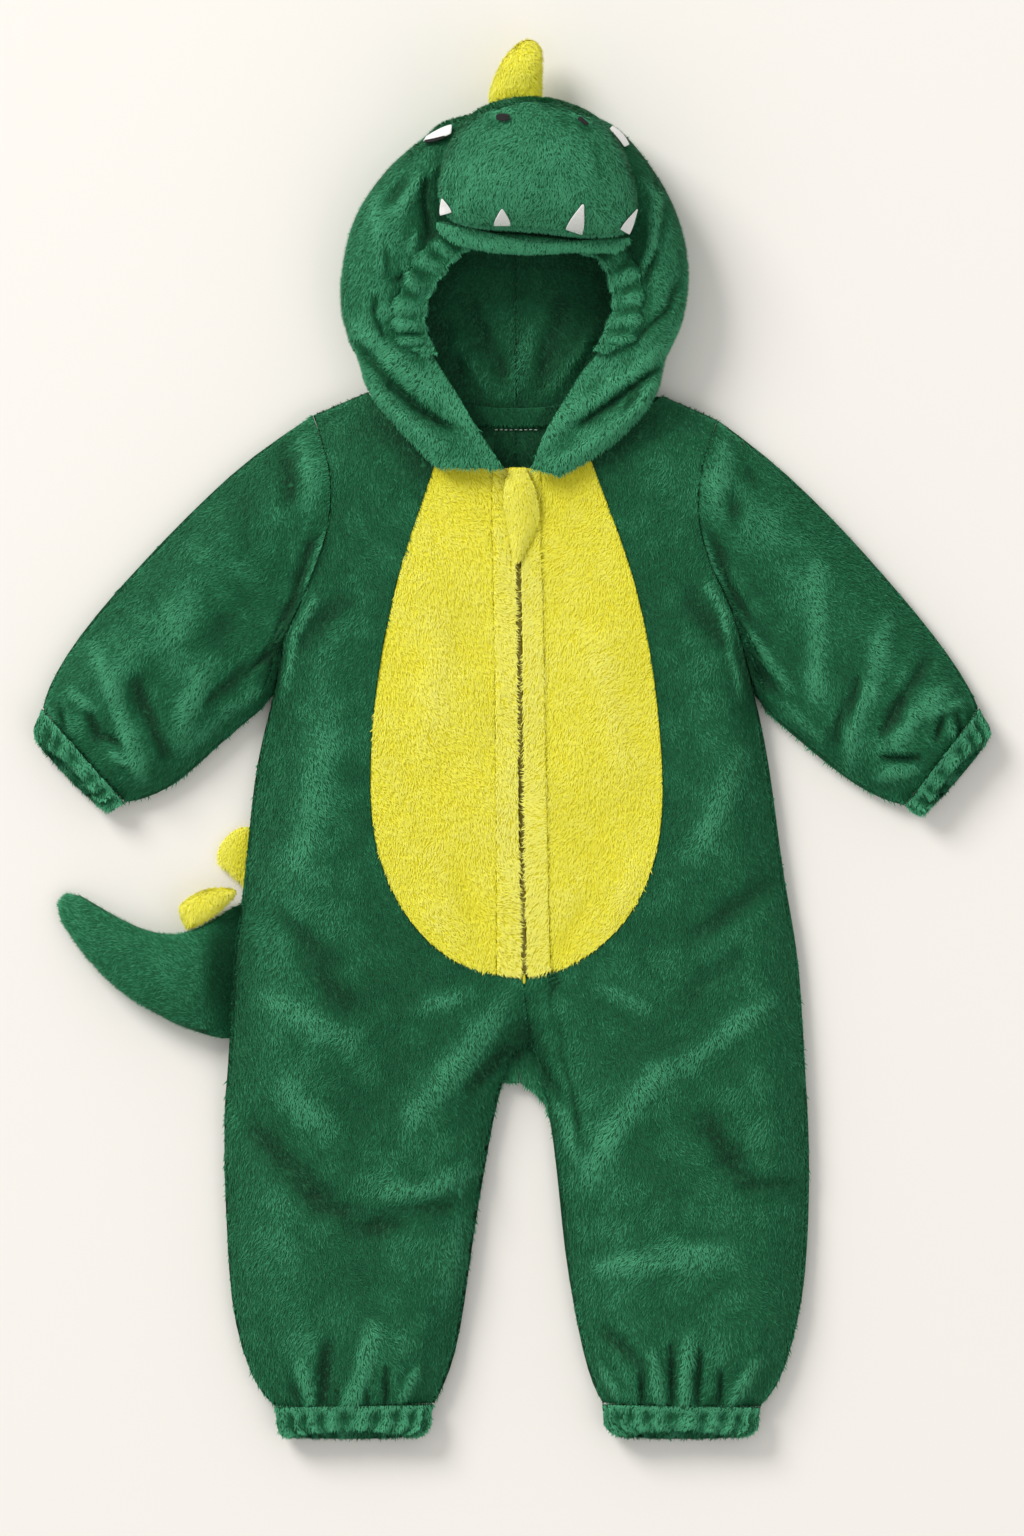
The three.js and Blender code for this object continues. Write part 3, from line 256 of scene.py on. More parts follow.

# %% [markdown]
# ## Folds one by one
# A maker reads the folds off the suit as it lies: where the cuffs gather the cloth, where the
# lapels of the hood roll over, where the legs bend. Cloth could be dropped by a simulation, but
# its folds would fall elsewhere, so each fold is one row here: two ends, a width and a height.
# Troughs have a height below zero.

# %% Folds
creases = {
    # name: rows of x1, y1, x2, y2, width, height in millimetres
    "body": [
        (-12.3, -167.7, -67, -230.1, 9.1, 3), (-169, -238.6, -130, -285.4, 9.1, -3),
        (-130, -285.4, -90.4, -300.9, 7.8, -3.2), (-90.4, -300.9, -43.6, -289.2, 6.5, -3),
        (-24.1, -261.9, -59.1, -281.4, 5.9, 3), (-59.1, -281.4, -98.2, -273.7, 5.9, 2.4),
        (-35.8, -302.2, -46.1, -344.5, 9.1, 2.2), (-120.9, -240.5, -146.9, -214.5, 10.4, 2.4),
        (-140.4, -391.3, -133.2, -416, 4.5, 3.2), (-122.9, -380.2, -125.5, -416, 4.5, -4.1),
        (-92.3, -370.5, -105.3, -416, 6.5, 3.8), (-84.5, -395.2, -84.5, -417.3, 2.2, -3.5),
        (-65, -395.2, -74.8, -417.3, 3.9, 3), (-115.7, -405.6, -115.7, -417.3, 2, -2.2),
        (-97.5, -408.2, -96.2, -417.9, 1.7, -2.4), (-145.6, -406.2, -143, -416, 2.6, -2.2),
        (54.6, -328.2, 89.7, -324.4, 6.5, 3), (89.7, -324.4, 136.5, -320.4, 6.5, 3),
        (58.5, -370.5, 79.3, -391.3, 5.2, -3.2), (120.9, -230.8, 152.1, -273.7, 7.8, -3),
        (152.1, -273.7, 183.3, -277.6, 6.5, -2.4), (42.2, -273.7, 81.9, -214.5, 7.8, 2.7),
        (81.9, -214.5, 97.5, -198.9, 7.8, 2.4), (26.7, -218.4, 38.4, -258.1, 5.2, 2.4),
        (54.6, -393.9, 67, -416, 3.9, 3), (81.2, -397.8, 82.5, -417.3, 2.1, -3.8),
        (88.4, -384.8, 93.6, -417.3, 3.2, 3), (100.8, -380.2, 102, -417.3, 2.2, -4.1),
        (111.8, -377, 109.9, -417.3, 3.6, 3.2), (119.6, -383.5, 118.3, -417.3, 2.2, -4.1),
        (133.9, -397.8, 132.6, -417.3, 2, -3.5), (156, -391.3, 143, -416, 4.5, 3.2),
        (-120.9, 26, -140.4, -65, 11.7, 2), (-156.7, -94.2, -120.9, -130, 7.8, -2.4),
        (-159.9, -156, -107.9, -182, 9.1, 2.4), (-140.4, 78, -111.2, 104, 7.8, -2.2),
        (165.1, -78, 119.6, -110.5, 7.8, -2.4), (145.6, 0, 119.6, -58.5, 9.1, 2),
        (165.1, -156, 113.1, -195, 7.8, 2.4), (142.3, 71.5, 113.1, 104, 7.8, -2.2),
        (-6.5, -188.5, -29.9, -211.2, 3.9, -2.7), (15.6, -196.3, 29.9, -221, 3.2, -2.7),
        (-29.9, -149.5, -62.4, -161.2, 5.9, 2.2), (54.6, -146.2, 87.1, -162.5, 5.9, 2.2),
        (-128.7, 105.3, -143, 83.2, 3.2, 2.4), (-143, 83.2, -146.9, 61.8, 3.2, 2.4),
        (-146.9, 61.8, -153.4, 39, 3.2, 2.2), (124.8, 115, 135.8, 96.2, 3.2, 2.4),
        (135.8, 96.2, 140.4, 71.5, 3.2, 2.4), (140.4, 71.5, 146.9, 42.2, 3.2, 2.2),
        (-101.4, -162.5, -140.4, -130, 7.8, -1.9), (106.6, -156, 145.6, -123.5, 7.8, -1.9),
        (23.4, -137.8, 25.4, -162.5, 1.4, -2.2), (25.4, -162.5, 29.9, -187.2, 1.4, -2.2),
        (29.9, -187.2, 38.4, -216.5, 1.4, -2.2), (38.4, -216.5, 41.6, -247, 1.4, -1.9),
    ],
    "belly": [
        (-49.4, 91, -59.1, 0, 9.1, 1.2), (-39.6, -65, -23.4, -117, 6.5, -1),
        (54.6, 78, 70.9, -13, 9.1, 1.2), (48.1, -91, 28.6, -123.5, 6.5, -1),
        (-62.4, -91, -39.6, -120.2, 5.9, 1), (80.6, -65, 61.1, -110.5, 5.9, 1),
    ],
    "sleeves": [
        (-273.7, 74.8, -260.7, 45.5, 6.5, 3), (-260.7, 45.5, -250.9, 13, 5.9, 3.5),
        (-250.9, 13, -241.2, -9.8, 5.2, 3), (-246.3, 52, -236.6, 26, 4.5, -3),
        (-236.6, 26, -226.2, 3.2, 4.5, -2.8), (-202.2, 61.8, -211.9, 39, 7.2, 2.2),
        (-211.9, 39, -216.5, 13, 6.5, 2), (-151.5, 76, -176.2, 57.9, 2.6, -3.5),
        (-176.2, 57.9, -200.2, 37.7, 3.2, -2.5), (-156.7, 52, -185.9, 32.5, 5.2, 1.8),
        (-185.9, 32.5, -211.9, 6.5, 5.9, 1.5), (-276.9, 31.2, -270.4, 16.2, 3.2, -3.5),
        (-288.6, 45.5, -275.6, 33.8, 3.2, 2.8), (-266.5, 16.2, -253.5, 9.8, 2.3, -3.2),
        (-260, 2.6, -247, -3.9, 3.2, 2.5), (-305.5, 37.7, -300.3, 26, 2.6, 2.2),
        (-295.8, 35.8, -291.9, 20.8, 2, -2.8), (-211.9, 110.5, -224.9, 65, 10.4, 1.5),
        (-178.1, 104, -195.7, 78, 9.1, -1.5), (-179.4, 169, -165.1, 130, 11.7, -1.2),
        (-140.4, 208, -128.7, 175.5, 3.9, 2.5), (-128.7, 175.5, -127.4, 143, 3.9, 2.8),
        (-127.4, 143, -133.2, 113.8, 3.2, 2.2), (-152.1, 208, -146.9, 182, 3.9, -2.2),
        (-146.9, 182, -137.2, 161.2, 3.2, -3.2), (-137.2, 161.2, -136.5, 135.2, 3.2, -3.2),
        (-136.5, 135.2, -141.7, 109.2, 3.2, -3), (-141.7, 109.2, -153.4, 85.8, 2.6, -2.5),
        (194.3, 130, 196.3, 78, 7.8, 1.8), (196.3, 78, 192.4, 39, 7.2, 2),
        (222.3, 50.7, 211.9, 27.3, 3.9, -2.8), (211.9, 27.3, 202.8, 9.8, 3.9, -2.8),
        (239.8, 91, 228.8, 45.5, 6.5, 2.2), (228.8, 45.5, 217.1, 19.5, 5.2, 2.5),
        (217.1, 19.5, 215.8, -3.2, 5.2, 2.2), (265.9, 65, 249.6, 39, 4.5, -3),
        (249.6, 39, 237.2, 18.2, 3.9, -3.5), (278.9, 45.5, 259.4, 29.2, 5.2, 2.5),
        (259.4, 29.2, 247, 11.7, 4.5, 2.5), (239.2, 2, 260, 2, 2.2, -5),
        (235.3, -10.4, 257.4, -5.2, 3.9, 3), (272.4, 14.3, 276.2, 28.6, 2.3, -3.5),
        (285.4, 31.2, 289.9, 15.6, 2, -3), (267.8, 29.2, 287.3, 38.4, 3.2, 2.5),
        (280.8, 26, 284.7, 15.6, 2.6, 2.2), (146.9, 89.7, 161.8, 68.2, 2.9, 2.5),
        (161.8, 68.2, 178.1, 45.5, 3.2, 2.2), (154.1, 63.7, 168.3, 45.5, 2.9, -2.8),
        (165.1, 44.2, 197.6, 13, 5.2, 1.8), (137.2, 208, 130.7, 185.2, 3.9, 2.5),
        (130.7, 185.2, 124.8, 162.5, 3.2, 2.8), (124.8, 162.5, 124.8, 139.8, 3.2, 2.5),
        (124.8, 139.8, 130, 120.2, 3.2, 2), (152.1, 188.5, 139.1, 165.8, 3.9, -2.8),
        (139.1, 165.8, 133.2, 143, 3.2, -3.2), (133.2, 143, 135.2, 120.2, 3.2, -3),
        (135.2, 120.2, 150.8, 92.3, 2.6, -2.5),
    ],
    "snout": [
        (-19.5, 421.2, -2.6, 423.8, 2.6, 2.2), (-18.2, 413.4, -2.6, 411.4, 3.2, -1.2),
        (35.1, 421.2, 48.1, 415.4, 2.3, 2), (38.4, 413.4, 46.8, 408.9, 2.2, -1.4),
        (1.3, 427.1, 14.3, 427.1, 2.6, 1.6), (51.4, 396.5, 54.6, 380.2, 2.6, -1.2),
        (-44.2, 380.2, -41.6, 360.8, 2.6, -1.2), (-5.2, 343.2, 18.9, 340.6, 2.6, -1.4),
        (-29.9, 370.5, -39.6, 356.2, 3.2, 1.2), (28.6, 417.3, 32.5, 410.8, 2, -1.2),
    ],
    "hood": [
        (-100.1, 269.8, -80.6, 244.4, 3.2, -3.2), (-80.6, 244.4, -59.1, 226.2, 3.2, -4.5),
        (-59.1, 226.2, -42.9, 217.1, 2.6, -4.5), (-106.6, 284.7, -80.6, 260, 5.9, 2.5),
        (-80.6, 260, -52.6, 240.5, 6.5, 3.2), (-52.6, 240.5, -23.4, 217.8, 5.9, 2.8),
        (-91.7, 240.5, -72.2, 223, 3.9, 2.8), (-72.2, 223, -48.1, 204.8, 3.9, 2.8),
        (-90.4, 300.9, -92.3, 292.5, 2, -3.2), (-92.3, 292.5, -85.8, 276.2, 2, -3.2),
        (-83.9, 292.5, -65.7, 284.7, 4.5, 3), (-49.4, 386.8, -64.4, 375.7, 3.2, 2.8),
        (-64.4, 375.7, -74.1, 357.5, 3.9, 3), (-57.9, 382.2, -59.1, 364, 2.6, -3.2),
        (-59.1, 364, -55.9, 341.2, 2.6, -3.2), (-72.2, 377, -84.5, 359.4, 3.9, -2.8),
        (-92.3, 365.9, -84.5, 321.8, 4.5, 2.5), (-85.8, 338, -82.5, 315.2, 2.6, -2.8),
        (-72.2, 323.7, -65.7, 307.4, 2.3, 2.8), (-70.9, 315.2, -78.7, 312, 2, -2.5),
        (-64.4, 344.5, -67.6, 331.5, 2.6, 2.2), (80.6, 377, 93.6, 367.2, 3.2, 2.8),
        (93.6, 367.2, 88.4, 338, 3.9, 3), (88.4, 338, 80.6, 315.2, 3.2, 2.8),
        (96.9, 365.3, 92.3, 338, 2.6, -2.2), (90.4, 330.2, 83.2, 312, 2, -3),
        (103.4, 310.7, 96.9, 292.5, 2.6, -3.2), (96.9, 292.5, 78.7, 274.9, 2.6, -3),
        (111.2, 289.2, 94.9, 266.5, 4.5, 2.5), (94.9, 266.5, 65.7, 243.8, 5.2, 3),
        (65.7, 243.8, 33.1, 224.2, 5.2, 2.8), (33.1, 224.2, 18.9, 208, 5.2, 2.5),
        (91.7, 255.5, 74.1, 242.5, 2.6, -4), (74.1, 242.5, 42.9, 219.7, 2.6, -4.5),
        (90.4, 245.7, 77.4, 227.5, 3.9, 2.8), (77.4, 227.5, 51.4, 208, 3.9, 2.8),
        (51.4, 208, 29.9, 195, 3.9, 2.5), (80.6, 242.5, 70.9, 226.2, 2, -2.8),
    ],
    "hood_inside": [
        (-42.9, 276.2, -10.4, 237.2, 5.2, 2.8), (7.2, 279.5, 2.6, 239.2, 5.2, 2.2),
        (49.4, 276.2, 25.4, 242.5, 5.2, 2.7), (-29.9, 300.9, -7.2, 250.2, 4.5, -2.4),
        (28.6, 299, 15.6, 247, 4.5, -2.4), (-49.4, 286, -35.1, 253.5, 3.9, -2.1),
        (59.8, 286, 41.6, 252.2, 3.9, -2.1),
    ],
}


def fold_shift(points, name):
    x, y = points[:, 0] * 1000, points[:, 1] * 1000
    shift = np.zeros(len(points))
    for x1, y1, x2, y2, width, height in creases[name]:
        dx, dy = x2 - x1, y2 - y1
        along = np.clip(((x - x1) * dx + (y - y1) * dy) / (dx * dx + dy * dy), 0, 1)
        away = np.hypot(x - x1 - along * dx, y - y1 - along * dy)
        taper = 0.6 + 0.4 * np.sin(math.pi * along)
        shift += height * taper * np.exp(-((away / width) ** 2))
    return shift / 1000


print("folds", {name: len(rows) for name, rows in creases.items()})

# %% [markdown]
# Big plush surfaces are never quite smooth, even between folds. A slow wave of sines with fixed
# phases gives that, the same on every run.

# %% Slow waves
wave_steps = [(71, 33, 0.4), (-42, 64, 2.1), (23, -87, 4.0), (95, 51, 1.2), (-61, -29, 5.3)]


def slow_wave(points, stretch=1.0, offset=0.0):
    x, y, z = points.T / stretch
    total = np.zeros(len(points))
    for a, b, phase in wave_steps:
        total += np.sin(a * x + b * y + 60 * z + phase + offset)
    return total / len(wave_steps)


print("waves", len(wave_steps))

# %% [markdown]
# ## Soft panels
# Turned plush is round at the seam and keeps its cut shape. Each panel starts as a copy of its
# solid, because that fits its neighbours already. Its loose triangles are merged and joined to
# squares, and where the folds are small it is cut finer first.


# %% Points in and out
def only(piece):
    bpy.ops.object.select_all(action="DESELECT")
    piece.select_set(True)
    bpy.context.view_layer.objects.active = piece


def read(piece, what="co"):
    values = np.empty(len(piece.data.vertices) * 3)
    piece.data.vertices.foreach_get(what, values)
    return values.reshape(-1, 3)


def write(piece, points):
    piece.data.vertices.foreach_set("co", points.ravel())
    piece.data.update()


def ridge_values(piece):
    values = np.empty(len(piece.data.vertices), np.float32)
    piece.data.attributes["ridge"].data.foreach_get("value", values)
    return values


def rise(value, start, run):
    return np.clip((value - start) / run, 0, 1)    # 0 up to start, 1 from start + run on


def unit(vectors):
    return vectors / (np.linalg.norm(vectors, axis=1)[:, None] + 1e-12)


# %% Merged copy
def merged_copy(node):
    piece = nodes[node].copy()
    piece.data = nodes[node].data.copy()
    piece.name = node + "_cloth"
    bpy.context.scene.collection.objects.link(piece)
    only(piece)
    bpy.ops.object.mode_set(mode="EDIT")
    bpy.ops.mesh.select_mode(type="EDGE")
    bpy.ops.mesh.select_all(action="SELECT")
    bpy.ops.mesh.remove_doubles(threshold=0.00002)
    bpy.ops.mesh.tris_convert_to_quads(face_threshold=1.2, shape_threshold=1.6)
    bpy.ops.mesh.select_all(action="DESELECT")
    bpy.ops.object.mode_set(mode="OBJECT")
    return piece


def cut_finer(piece, zone):
    for edge in piece.data.edges:
        edge.select = all(zone(piece.data.vertices[k].co) for k in edge.vertices)
    bpy.ops.object.mode_set(mode="EDIT")
    bpy.ops.mesh.subdivide(number_cuts=1)
    bpy.ops.mesh.select_all(action="DESELECT")
    bpy.ops.object.mode_set(mode="OBJECT")


# %% [markdown]
# A subdivision surface pulls every edge in, which would open the seams. So the sharp edges of a
# panel are creased, and the corners where two of them meet are held, or a notch would be left
# there.

# %% Held edges and corners
sharp_edge = math.radians(62)
straight_on = -0.85      # two creased edges that turn less than this keep their curve


def crease_edges(piece):
    bpy.ops.object.mode_set(mode="EDIT")
    bpy.ops.mesh.edges_select_sharp(sharpness=sharp_edge)
    bpy.ops.object.mode_set(mode="OBJECT")
    sharp = np.zeros(len(piece.data.edges), bool)
    piece.data.edges.foreach_get("select", sharp)
    held = piece.data.attributes.new("crease_edge", "FLOAT", "EDGE")
    held.data.foreach_set("value", sharp.astype(np.float32))
    return sharp


def hold_corners(piece, sharp):
    points = read(piece)
    ways = {}
    for edge, keep in zip(piece.data.edges, sharp):
        if keep:
            a, b = edge.vertices
            way = (points[b] - points[a]) / np.linalg.norm(points[b] - points[a])
            ways.setdefault(a, []).append(way)
            ways.setdefault(b, []).append(-way)
    held = np.zeros(len(points), np.float32)
    for k, around in ways.items():
        if len(around) != 2 or around[0] @ around[1] > straight_on:
            held[k] = 1
    piece.data.attributes.new("crease_vert", "FLOAT", "POINT").data.foreach_set("value", held)


# %% [markdown]
# Elastic draws the cuffs and the face opening into gathers. The solids carry them coarsely. What
# smoothing would take away from a solid is the gather itself, so that is taken and made larger.
# How far each point stands out is kept in the attribute `ridge`, which later paints shade into
# the nap's valleys and a highlight onto its crests.

# %% Gathers on elastic
even_gather = 0.0012     # the gathers of one cuff bulge alike
# gathers get painted shade in their valleys and a painted highlight on their crests
full_ridge = 0.0004      # a bulge of this height is shaded as a full ridge


def high_pass(piece, points):
    edges = np.empty(len(piece.data.edges) * 2, int)
    piece.data.edges.foreach_get("vertices", edges)
    a, b = edges.reshape(-1, 2).T
    count = np.bincount(np.concatenate([a, b]), minlength=len(points))[:, None]
    total = np.zeros_like(points)
    np.add.at(total, a, points[b])
    np.add.at(total, b, points[a])
    return points - (0.5 * points + 0.5 * total / count)


def gather(piece, amount, axis):
    axis = np.array(axis)
    points = read(piece)
    bulge = 4 * high_pass(piece, high_pass(piece, points))
    bulge -= (bulge @ axis)[:, None] * axis
    out = np.tile([0.0, 0.0, 1.0], (len(points), 1))
    if axis.any():
        bulge *= even_gather / (np.linalg.norm(bulge, axis=1)[:, None] + 1e-9)
        out = points - points.mean(0)
        out -= (out @ axis)[:, None] * axis
    outward = (bulge * out).sum(1) / np.linalg.norm(out, axis=1)
    ridges = np.clip(outward / full_ridge, -1, 1).astype(np.float32)
    piece.data.attributes["ridge"].data.foreach_set("value", ridges)
    write(piece, points + bulge * amount)


# %% [markdown]
# The cloth then gets its folds. Its upper face sinks a little, so that the tips of the nap end
# where the solid does, and its upright walls grow a hair's breadth to close the seams. Folds fade
# out near the table, and the hood's outer and inner folds each keep to their own height.

# %% Laying the folds
lowest = 0.0001
upper_start, upper_run = 0.005, 0.006
sink_ways = np.array([0.2, 0.2, 1.0])
wall_growth = 0.00014
full_fold = 0.0022       # a fold of this height is shaded as a full ridge
fold_zones = {"hood": (0.014, 0.012), "hood_inside": (0.016, -0.006)}


def lay_folds(piece, folds, sink, wobble, growing):
    points, normals = read(piece), read(piece, "normal")
    upper = rise(points[:, 2], upper_start, upper_run)
    points -= normals * sink_ways * sink
    if growing:
        points += normals * (np.abs(normals[:, 2:]) < 0.5) * wall_growth
    ridges = ridge_values(piece)
    for name in folds:
        share = rise(points[:, 2], *fold_zones[name]) if name in fold_zones else upper
        shift = fold_shift(points, name) * share
        points[:, 2] += shift
        # the fold's height also goes into ridge: painted shade in troughs, painted highlight on
        # crests
        ridges += np.clip(shift / full_fold, -1, 1).astype(np.float32)
    points[:, 2] += slow_wave(points) * wobble * upper
    points[:, 2] = np.maximum(points[:, 2], lowest)
    write(piece, points)
    piece.data.attributes["ridge"].data.foreach_set("value", ridges)


# %% Panel maker
def worked_in(piece, name, kind, **settings):
    modifier = piece.modifiers.new(name, kind)
    for key, value in settings.items():
        setattr(modifier, key, value)
    bpy.ops.object.modifier_apply(modifier=name)


def soft_copy(
    node, finish, levels,
    folds=(), sink=0.0, wobble=0.0, crisp=True, finer=None, ribs=None,
):
    piece = merged_copy(node)
    if finer:
        cut_finer(piece, finer)
    if crisp:
        sharp = crease_edges(piece)
        if not ribs:
            hold_corners(piece, sharp)
    piece.data.attributes.new("ridge", "FLOAT", "POINT")
    if ribs:
        gather(piece, *ribs)
    piece.data.materials.clear()
    piece.data.materials.append(finish)
    if not crisp:
        worked_in(piece, "cut_edge", "BEVEL", width=0.0006, angle_limit=math.radians(42))
    worked_in(piece, "smooth", "SUBSURF", levels=levels)
    if crisp:
        segments = 1 if ribs else 2
        limit = math.radians(50)
        worked_in(
            piece, "soft_edge", "BEVEL", width=0.0005, segments=segments, angle_limit=limit,
        )
    bpy.ops.object.shade_smooth()
    lay_folds(piece, folds, sink, wobble, growing=crisp and not ribs)
    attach(piece, "root")
    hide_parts(node)
    return piece


# %% Where the cloth is cut finer
def leg_end(point):
    return point.y < -0.335


def sleeve_end(point):
    return abs(point.x) > 0.225


def lapel(point):
    return point.y < 0.275 and point.z > 0.02


# %% [markdown]
# ## The suit's panels
# Most panels come in pairs, one for each side of the body, and only the neck binding and the leaf
# over the slider are single. The green ones are plain plush, those on elastic are gathered, and
# the belly, the strips beside the zip and the leaf are yellow. One maker serves them all, so a
# panel is a row of a table: how finely it is rounded, its folds, how far it sinks and how much it
# waves.

# %% Plush panels
cloth = {}
sides = ("right", "left")
sleeve_axes = {"right": (0.752, 0.660, 0.0), "left": (-0.795, 0.606, 0.0)}
no_axis, leg_axis = (0.0, 0.0, 0.0), (0.0, 1.0, 0.0)
for side in sides:
    for node, levels, folds, sink, wobble, finer in (
        ("front_", 2, ("body",), 0.0007, 0.0005, leg_end),
        ("back_", 1, (), 0.0005, 0.0, None),
        ("sleeve_front_", 2, ("sleeves",), 0.0007, 0.0005, sleeve_end),
        ("sleeve_back_", 1, (), 0.0005, 0.0, None),
        ("hood_", 2, ("hood", "hood_inside"), 0.0007, 0.0006, lapel),
    ):
        cloth[node + side] = soft_copy(
            node + side, green_ground, levels, folds, sink, wobble, finer=finer,
        )
    for node, folds, amount, axis in (
        ("hood_casing_", ("hood",), 1.3, no_axis),
        ("leg_cuff_", (), 2.6, leg_axis),
        ("sleeve_cuff_", (), 2.4, sleeve_axes[side]),
    ):
        cloth[node + side] = soft_copy(
            node + side, green_ground, 2, folds, 0.0003, ribs=(amount, axis),
        )
    for node, folds, sink in (
        ("belly_", ("body", "belly"), 0.0005),
        ("zip_strip_", ("body",), 0.0003),
    ):
        cloth[node + side] = soft_copy(
            node + side, yellow_ground, 2, folds, sink, 0.0012,
        )
cloth["neck_binding"] = soft_copy("neck_binding", green_ground, 1, sink=0.0002)
cloth["zip_leaf"] = soft_copy("zip_leaf", yellow_ground, 2, sink=0.0003)
print("panels", len(cloth), "points", sum(len(piece.data.vertices) for piece in cloth.values()))

# %% [markdown]
# ## Stuffed pieces
# The snout, the spikes and the tail are sewn bags, filled until they are round. Their solids are
# round already, so a narrow bevel at the seam and a subdivision surface are enough.

# %% Stuffed pieces
stuffed = {}
for finish, slot, names in (
    (green_ground, "green_plush", ("snout", "snout_underside", "tail")),
    (yellow_ground, "yellow_plush", ("head_spike", "tail_spike_upper", "tail_spike_lower")),
):
    for node in names:
        folds = ("snout",) if node == "snout" else ()
        stuffed[node] = soft_copy(node, finish, 2, folds, 0.0006, crisp=False)
print("stuffed", {name: len(piece.data.vertices) for name, piece in stuffed.items()})

# %% [markdown]
# ## Felt shapes
# Teeth, eyes and nostrils are cut from felt and sewn on flat. They keep the shape of their
# solids, with the cut edge bevelled as scissors leave it.

# %% Felt shapes
teeth_and_eyes = (
    "tooth_1", "tooth_2", "tooth_3", "tooth_4", "eye_white_right", "eye_white_left",
)
felt_shapes = {}
for finish, slot, names in (
    (white_felt, "white_felt", teeth_and_eyes),
    (black_felt, "black_felt", ("pupil_right", "nostril_right", "nostril_left")),
):
    for node in names:
        felt_shapes[node] = soft_copy(node, finish, 1, crisp=False)
print("felt shapes", len(felt_shapes))

# %% [markdown]
# ## Hollows and ridges: painted shade and painted highlight
# Plush looks dark in a hollow, where the pile closes, and pale on a ridge, where it opens. A
# light could show that, but hairs this fine scatter it, so the shade is painted into the nap's
# colour here: painted shade in hollows, inside the hood and beside taller parts, and a painted
# highlight on ridges and along the outline. A map of the upper faces, compared with its own
# blurred copy, tells hollow from ridge over a wide stretch of cloth. The attribute `ridge` tells
# it for gathers and folds.


# %% Spread points over cloth
def scatter(pieces, count, seen, rng):
    corners, weights, heights = [], [], []
    for piece in pieces:
        mesh = piece.data
        mesh.calc_loop_triangles()
        index = np.empty(len(mesh.loop_triangles) * 3, int)
        mesh.loop_triangles.foreach_get("vertices", index)
        triangle = read(piece)[index.reshape(-1, 3)]
        cross = np.cross(triangle[:, 1] - triangle[:, 0], triangle[:, 2] - triangle[:, 0])
        area = np.linalg.norm(cross, axis=1) + 1e-15
        corners.append(triangle)
        weights.append(area * seen(triangle.mean(1), cross / area[:, None]))
        heights.append(ridge_values(piece)[index.reshape(-1, 3)])
    weight = np.concatenate(weights)
    picked = rng.choice(len(weight), count, p=weight / weight.sum())
    t, ridge = np.concatenate(corners)[picked], np.concatenate(heights)[picked]
    u, v = rng.random((2, count))
    flip = u + v > 1
    u[flip], v[flip] = 1 - u[flip], 1 - v[flip]
    root = t[:, 0] + u[:, None] * (t[:, 1] - t[:, 0]) + v[:, None] * (t[:, 2] - t[:, 0])
    ridge = ridge[:, 0] + u * (ridge[:, 1] - ridge[:, 0]) + v * (ridge[:, 2] - ridge[:, 0])
    return root, unit(np.cross(t[:, 1] - t[:, 0], t[:, 2] - t[:, 0])), ridge


# %% Map of the upper faces
map_cell = 0.002
map_corner = np.array([-0.35, -0.49])
map_shape = (350, 500)
map_points, map_seed = 700000, 90
near_reach, wide_reach = 2, 9      # cells to each side


def blurred(grid, reach):
    for axis in (0, 1):
        margins = [(reach + 1, reach) if k == axis else (0, 0) for k in (0, 1)]
        for _ in range(2):
            total = np.cumsum(np.pad(grid, margins), axis)
            high = np.take(total, range(2 * reach + 1, total.shape[axis]), axis)
            low = np.take(total, range(0, total.shape[axis] - 2 * reach - 1), axis)
            grid = (high - low) / (2 * reach + 1)
    return grid


def cells(points):
    across, along = ((points[:, :2] - map_corner) / map_cell).astype(int).T
    return np.clip(across, 0, map_shape[0] - 1), np.clip(along, 0, map_shape[1] - 1)


def facing_up(centre, normal):
    return (normal[:, 2] > 0.1).astype(float)


highest = np.full(map_shape, -1.0)
soft_pieces = [*cloth.values(), *stuffed.values()]
points, _, _ = scatter(soft_pieces, map_points, facing_up, np.random.default_rng(map_seed))
np.maximum.at(highest, cells(points), points[:, 2])
known = (highest >= 0).astype(float)
near_share, wide_share = blurred(known, near_reach), blurred(known, wide_reach)
near_mean = blurred(highest * known, near_reach) / np.maximum(near_share, 1e-6)
wide_mean = blurred(highest * known, wide_reach) / np.maximum(wide_share, 1e-6)
print("map", map_shape, "filled", round(float(known.mean()), 3))

# %% Relief
near_depth, wide_depth = 0.0009, 0.0026
# the nap close to the outline gets a painted highlight
painted_outline_light = 0.7       # close to the outline the wide map counts as a ridge


def relief(points):
    where = cells(points)
    inside_near = rise(near_share[where], 0.75, 0.25)
    inside_wide = rise(wide_share[where], 0.82, 0.18)
    near = np.clip((points[:, 2] - near_mean[where]) / near_depth, -1, 1) * inside_near
    wide = np.clip((points[:, 2] - wide_mean[where]) / wide_depth, -1, 1) * inside_wide
    # the outline counts as a ridge, so the nap along the edge gets a painted highlight
    wide += painted_outline_light * (1 - inside_wide)
    return near, wide, 1 - rise(near_share[where], 0.5, 0.45)


relief_at_rims = relief(points)[2]
print("points near a rim", int((relief_at_rims > 0).sum()))

# %% [markdown]
# ## The nap
# The pile is many thousands of short blades that lean along the cloth and turn in slow swirls, as
# plush does where hands have stroked it. A hair system would stay outside the export, so each
# blade is one narrow triangle. Roots are spread by area with a fixed seed. On walls the blades
# stand out, and underneath they are short, so that none reaches through the table.

# %% Blade shapes
blade_width = 0.00041
lean_spread, least_lean, most_lean = 7, 6, 45      # degrees
under_side = -0.3        # normals below this look at the table
root_lift, lowest_blade = 0.00012, 0.00008
shortest, longest, short_below = 0.6, 1.25, 0.45   # times the nap's length


def swirl(points, offset):
    return slow_wave(points, 1.3, offset) + 0.7 * slow_wave(points, 0.32, offset + 2)


def stroked(base, turn, normal):
    cos, sin = np.cos(turn), np.sin(turn)
    x, y, z = base.T
    way = np.stack([x * cos - y * sin, x * sin + y * cos, z], 1)
    return unit(way - normal * (way * normal).sum(1)[:, None])


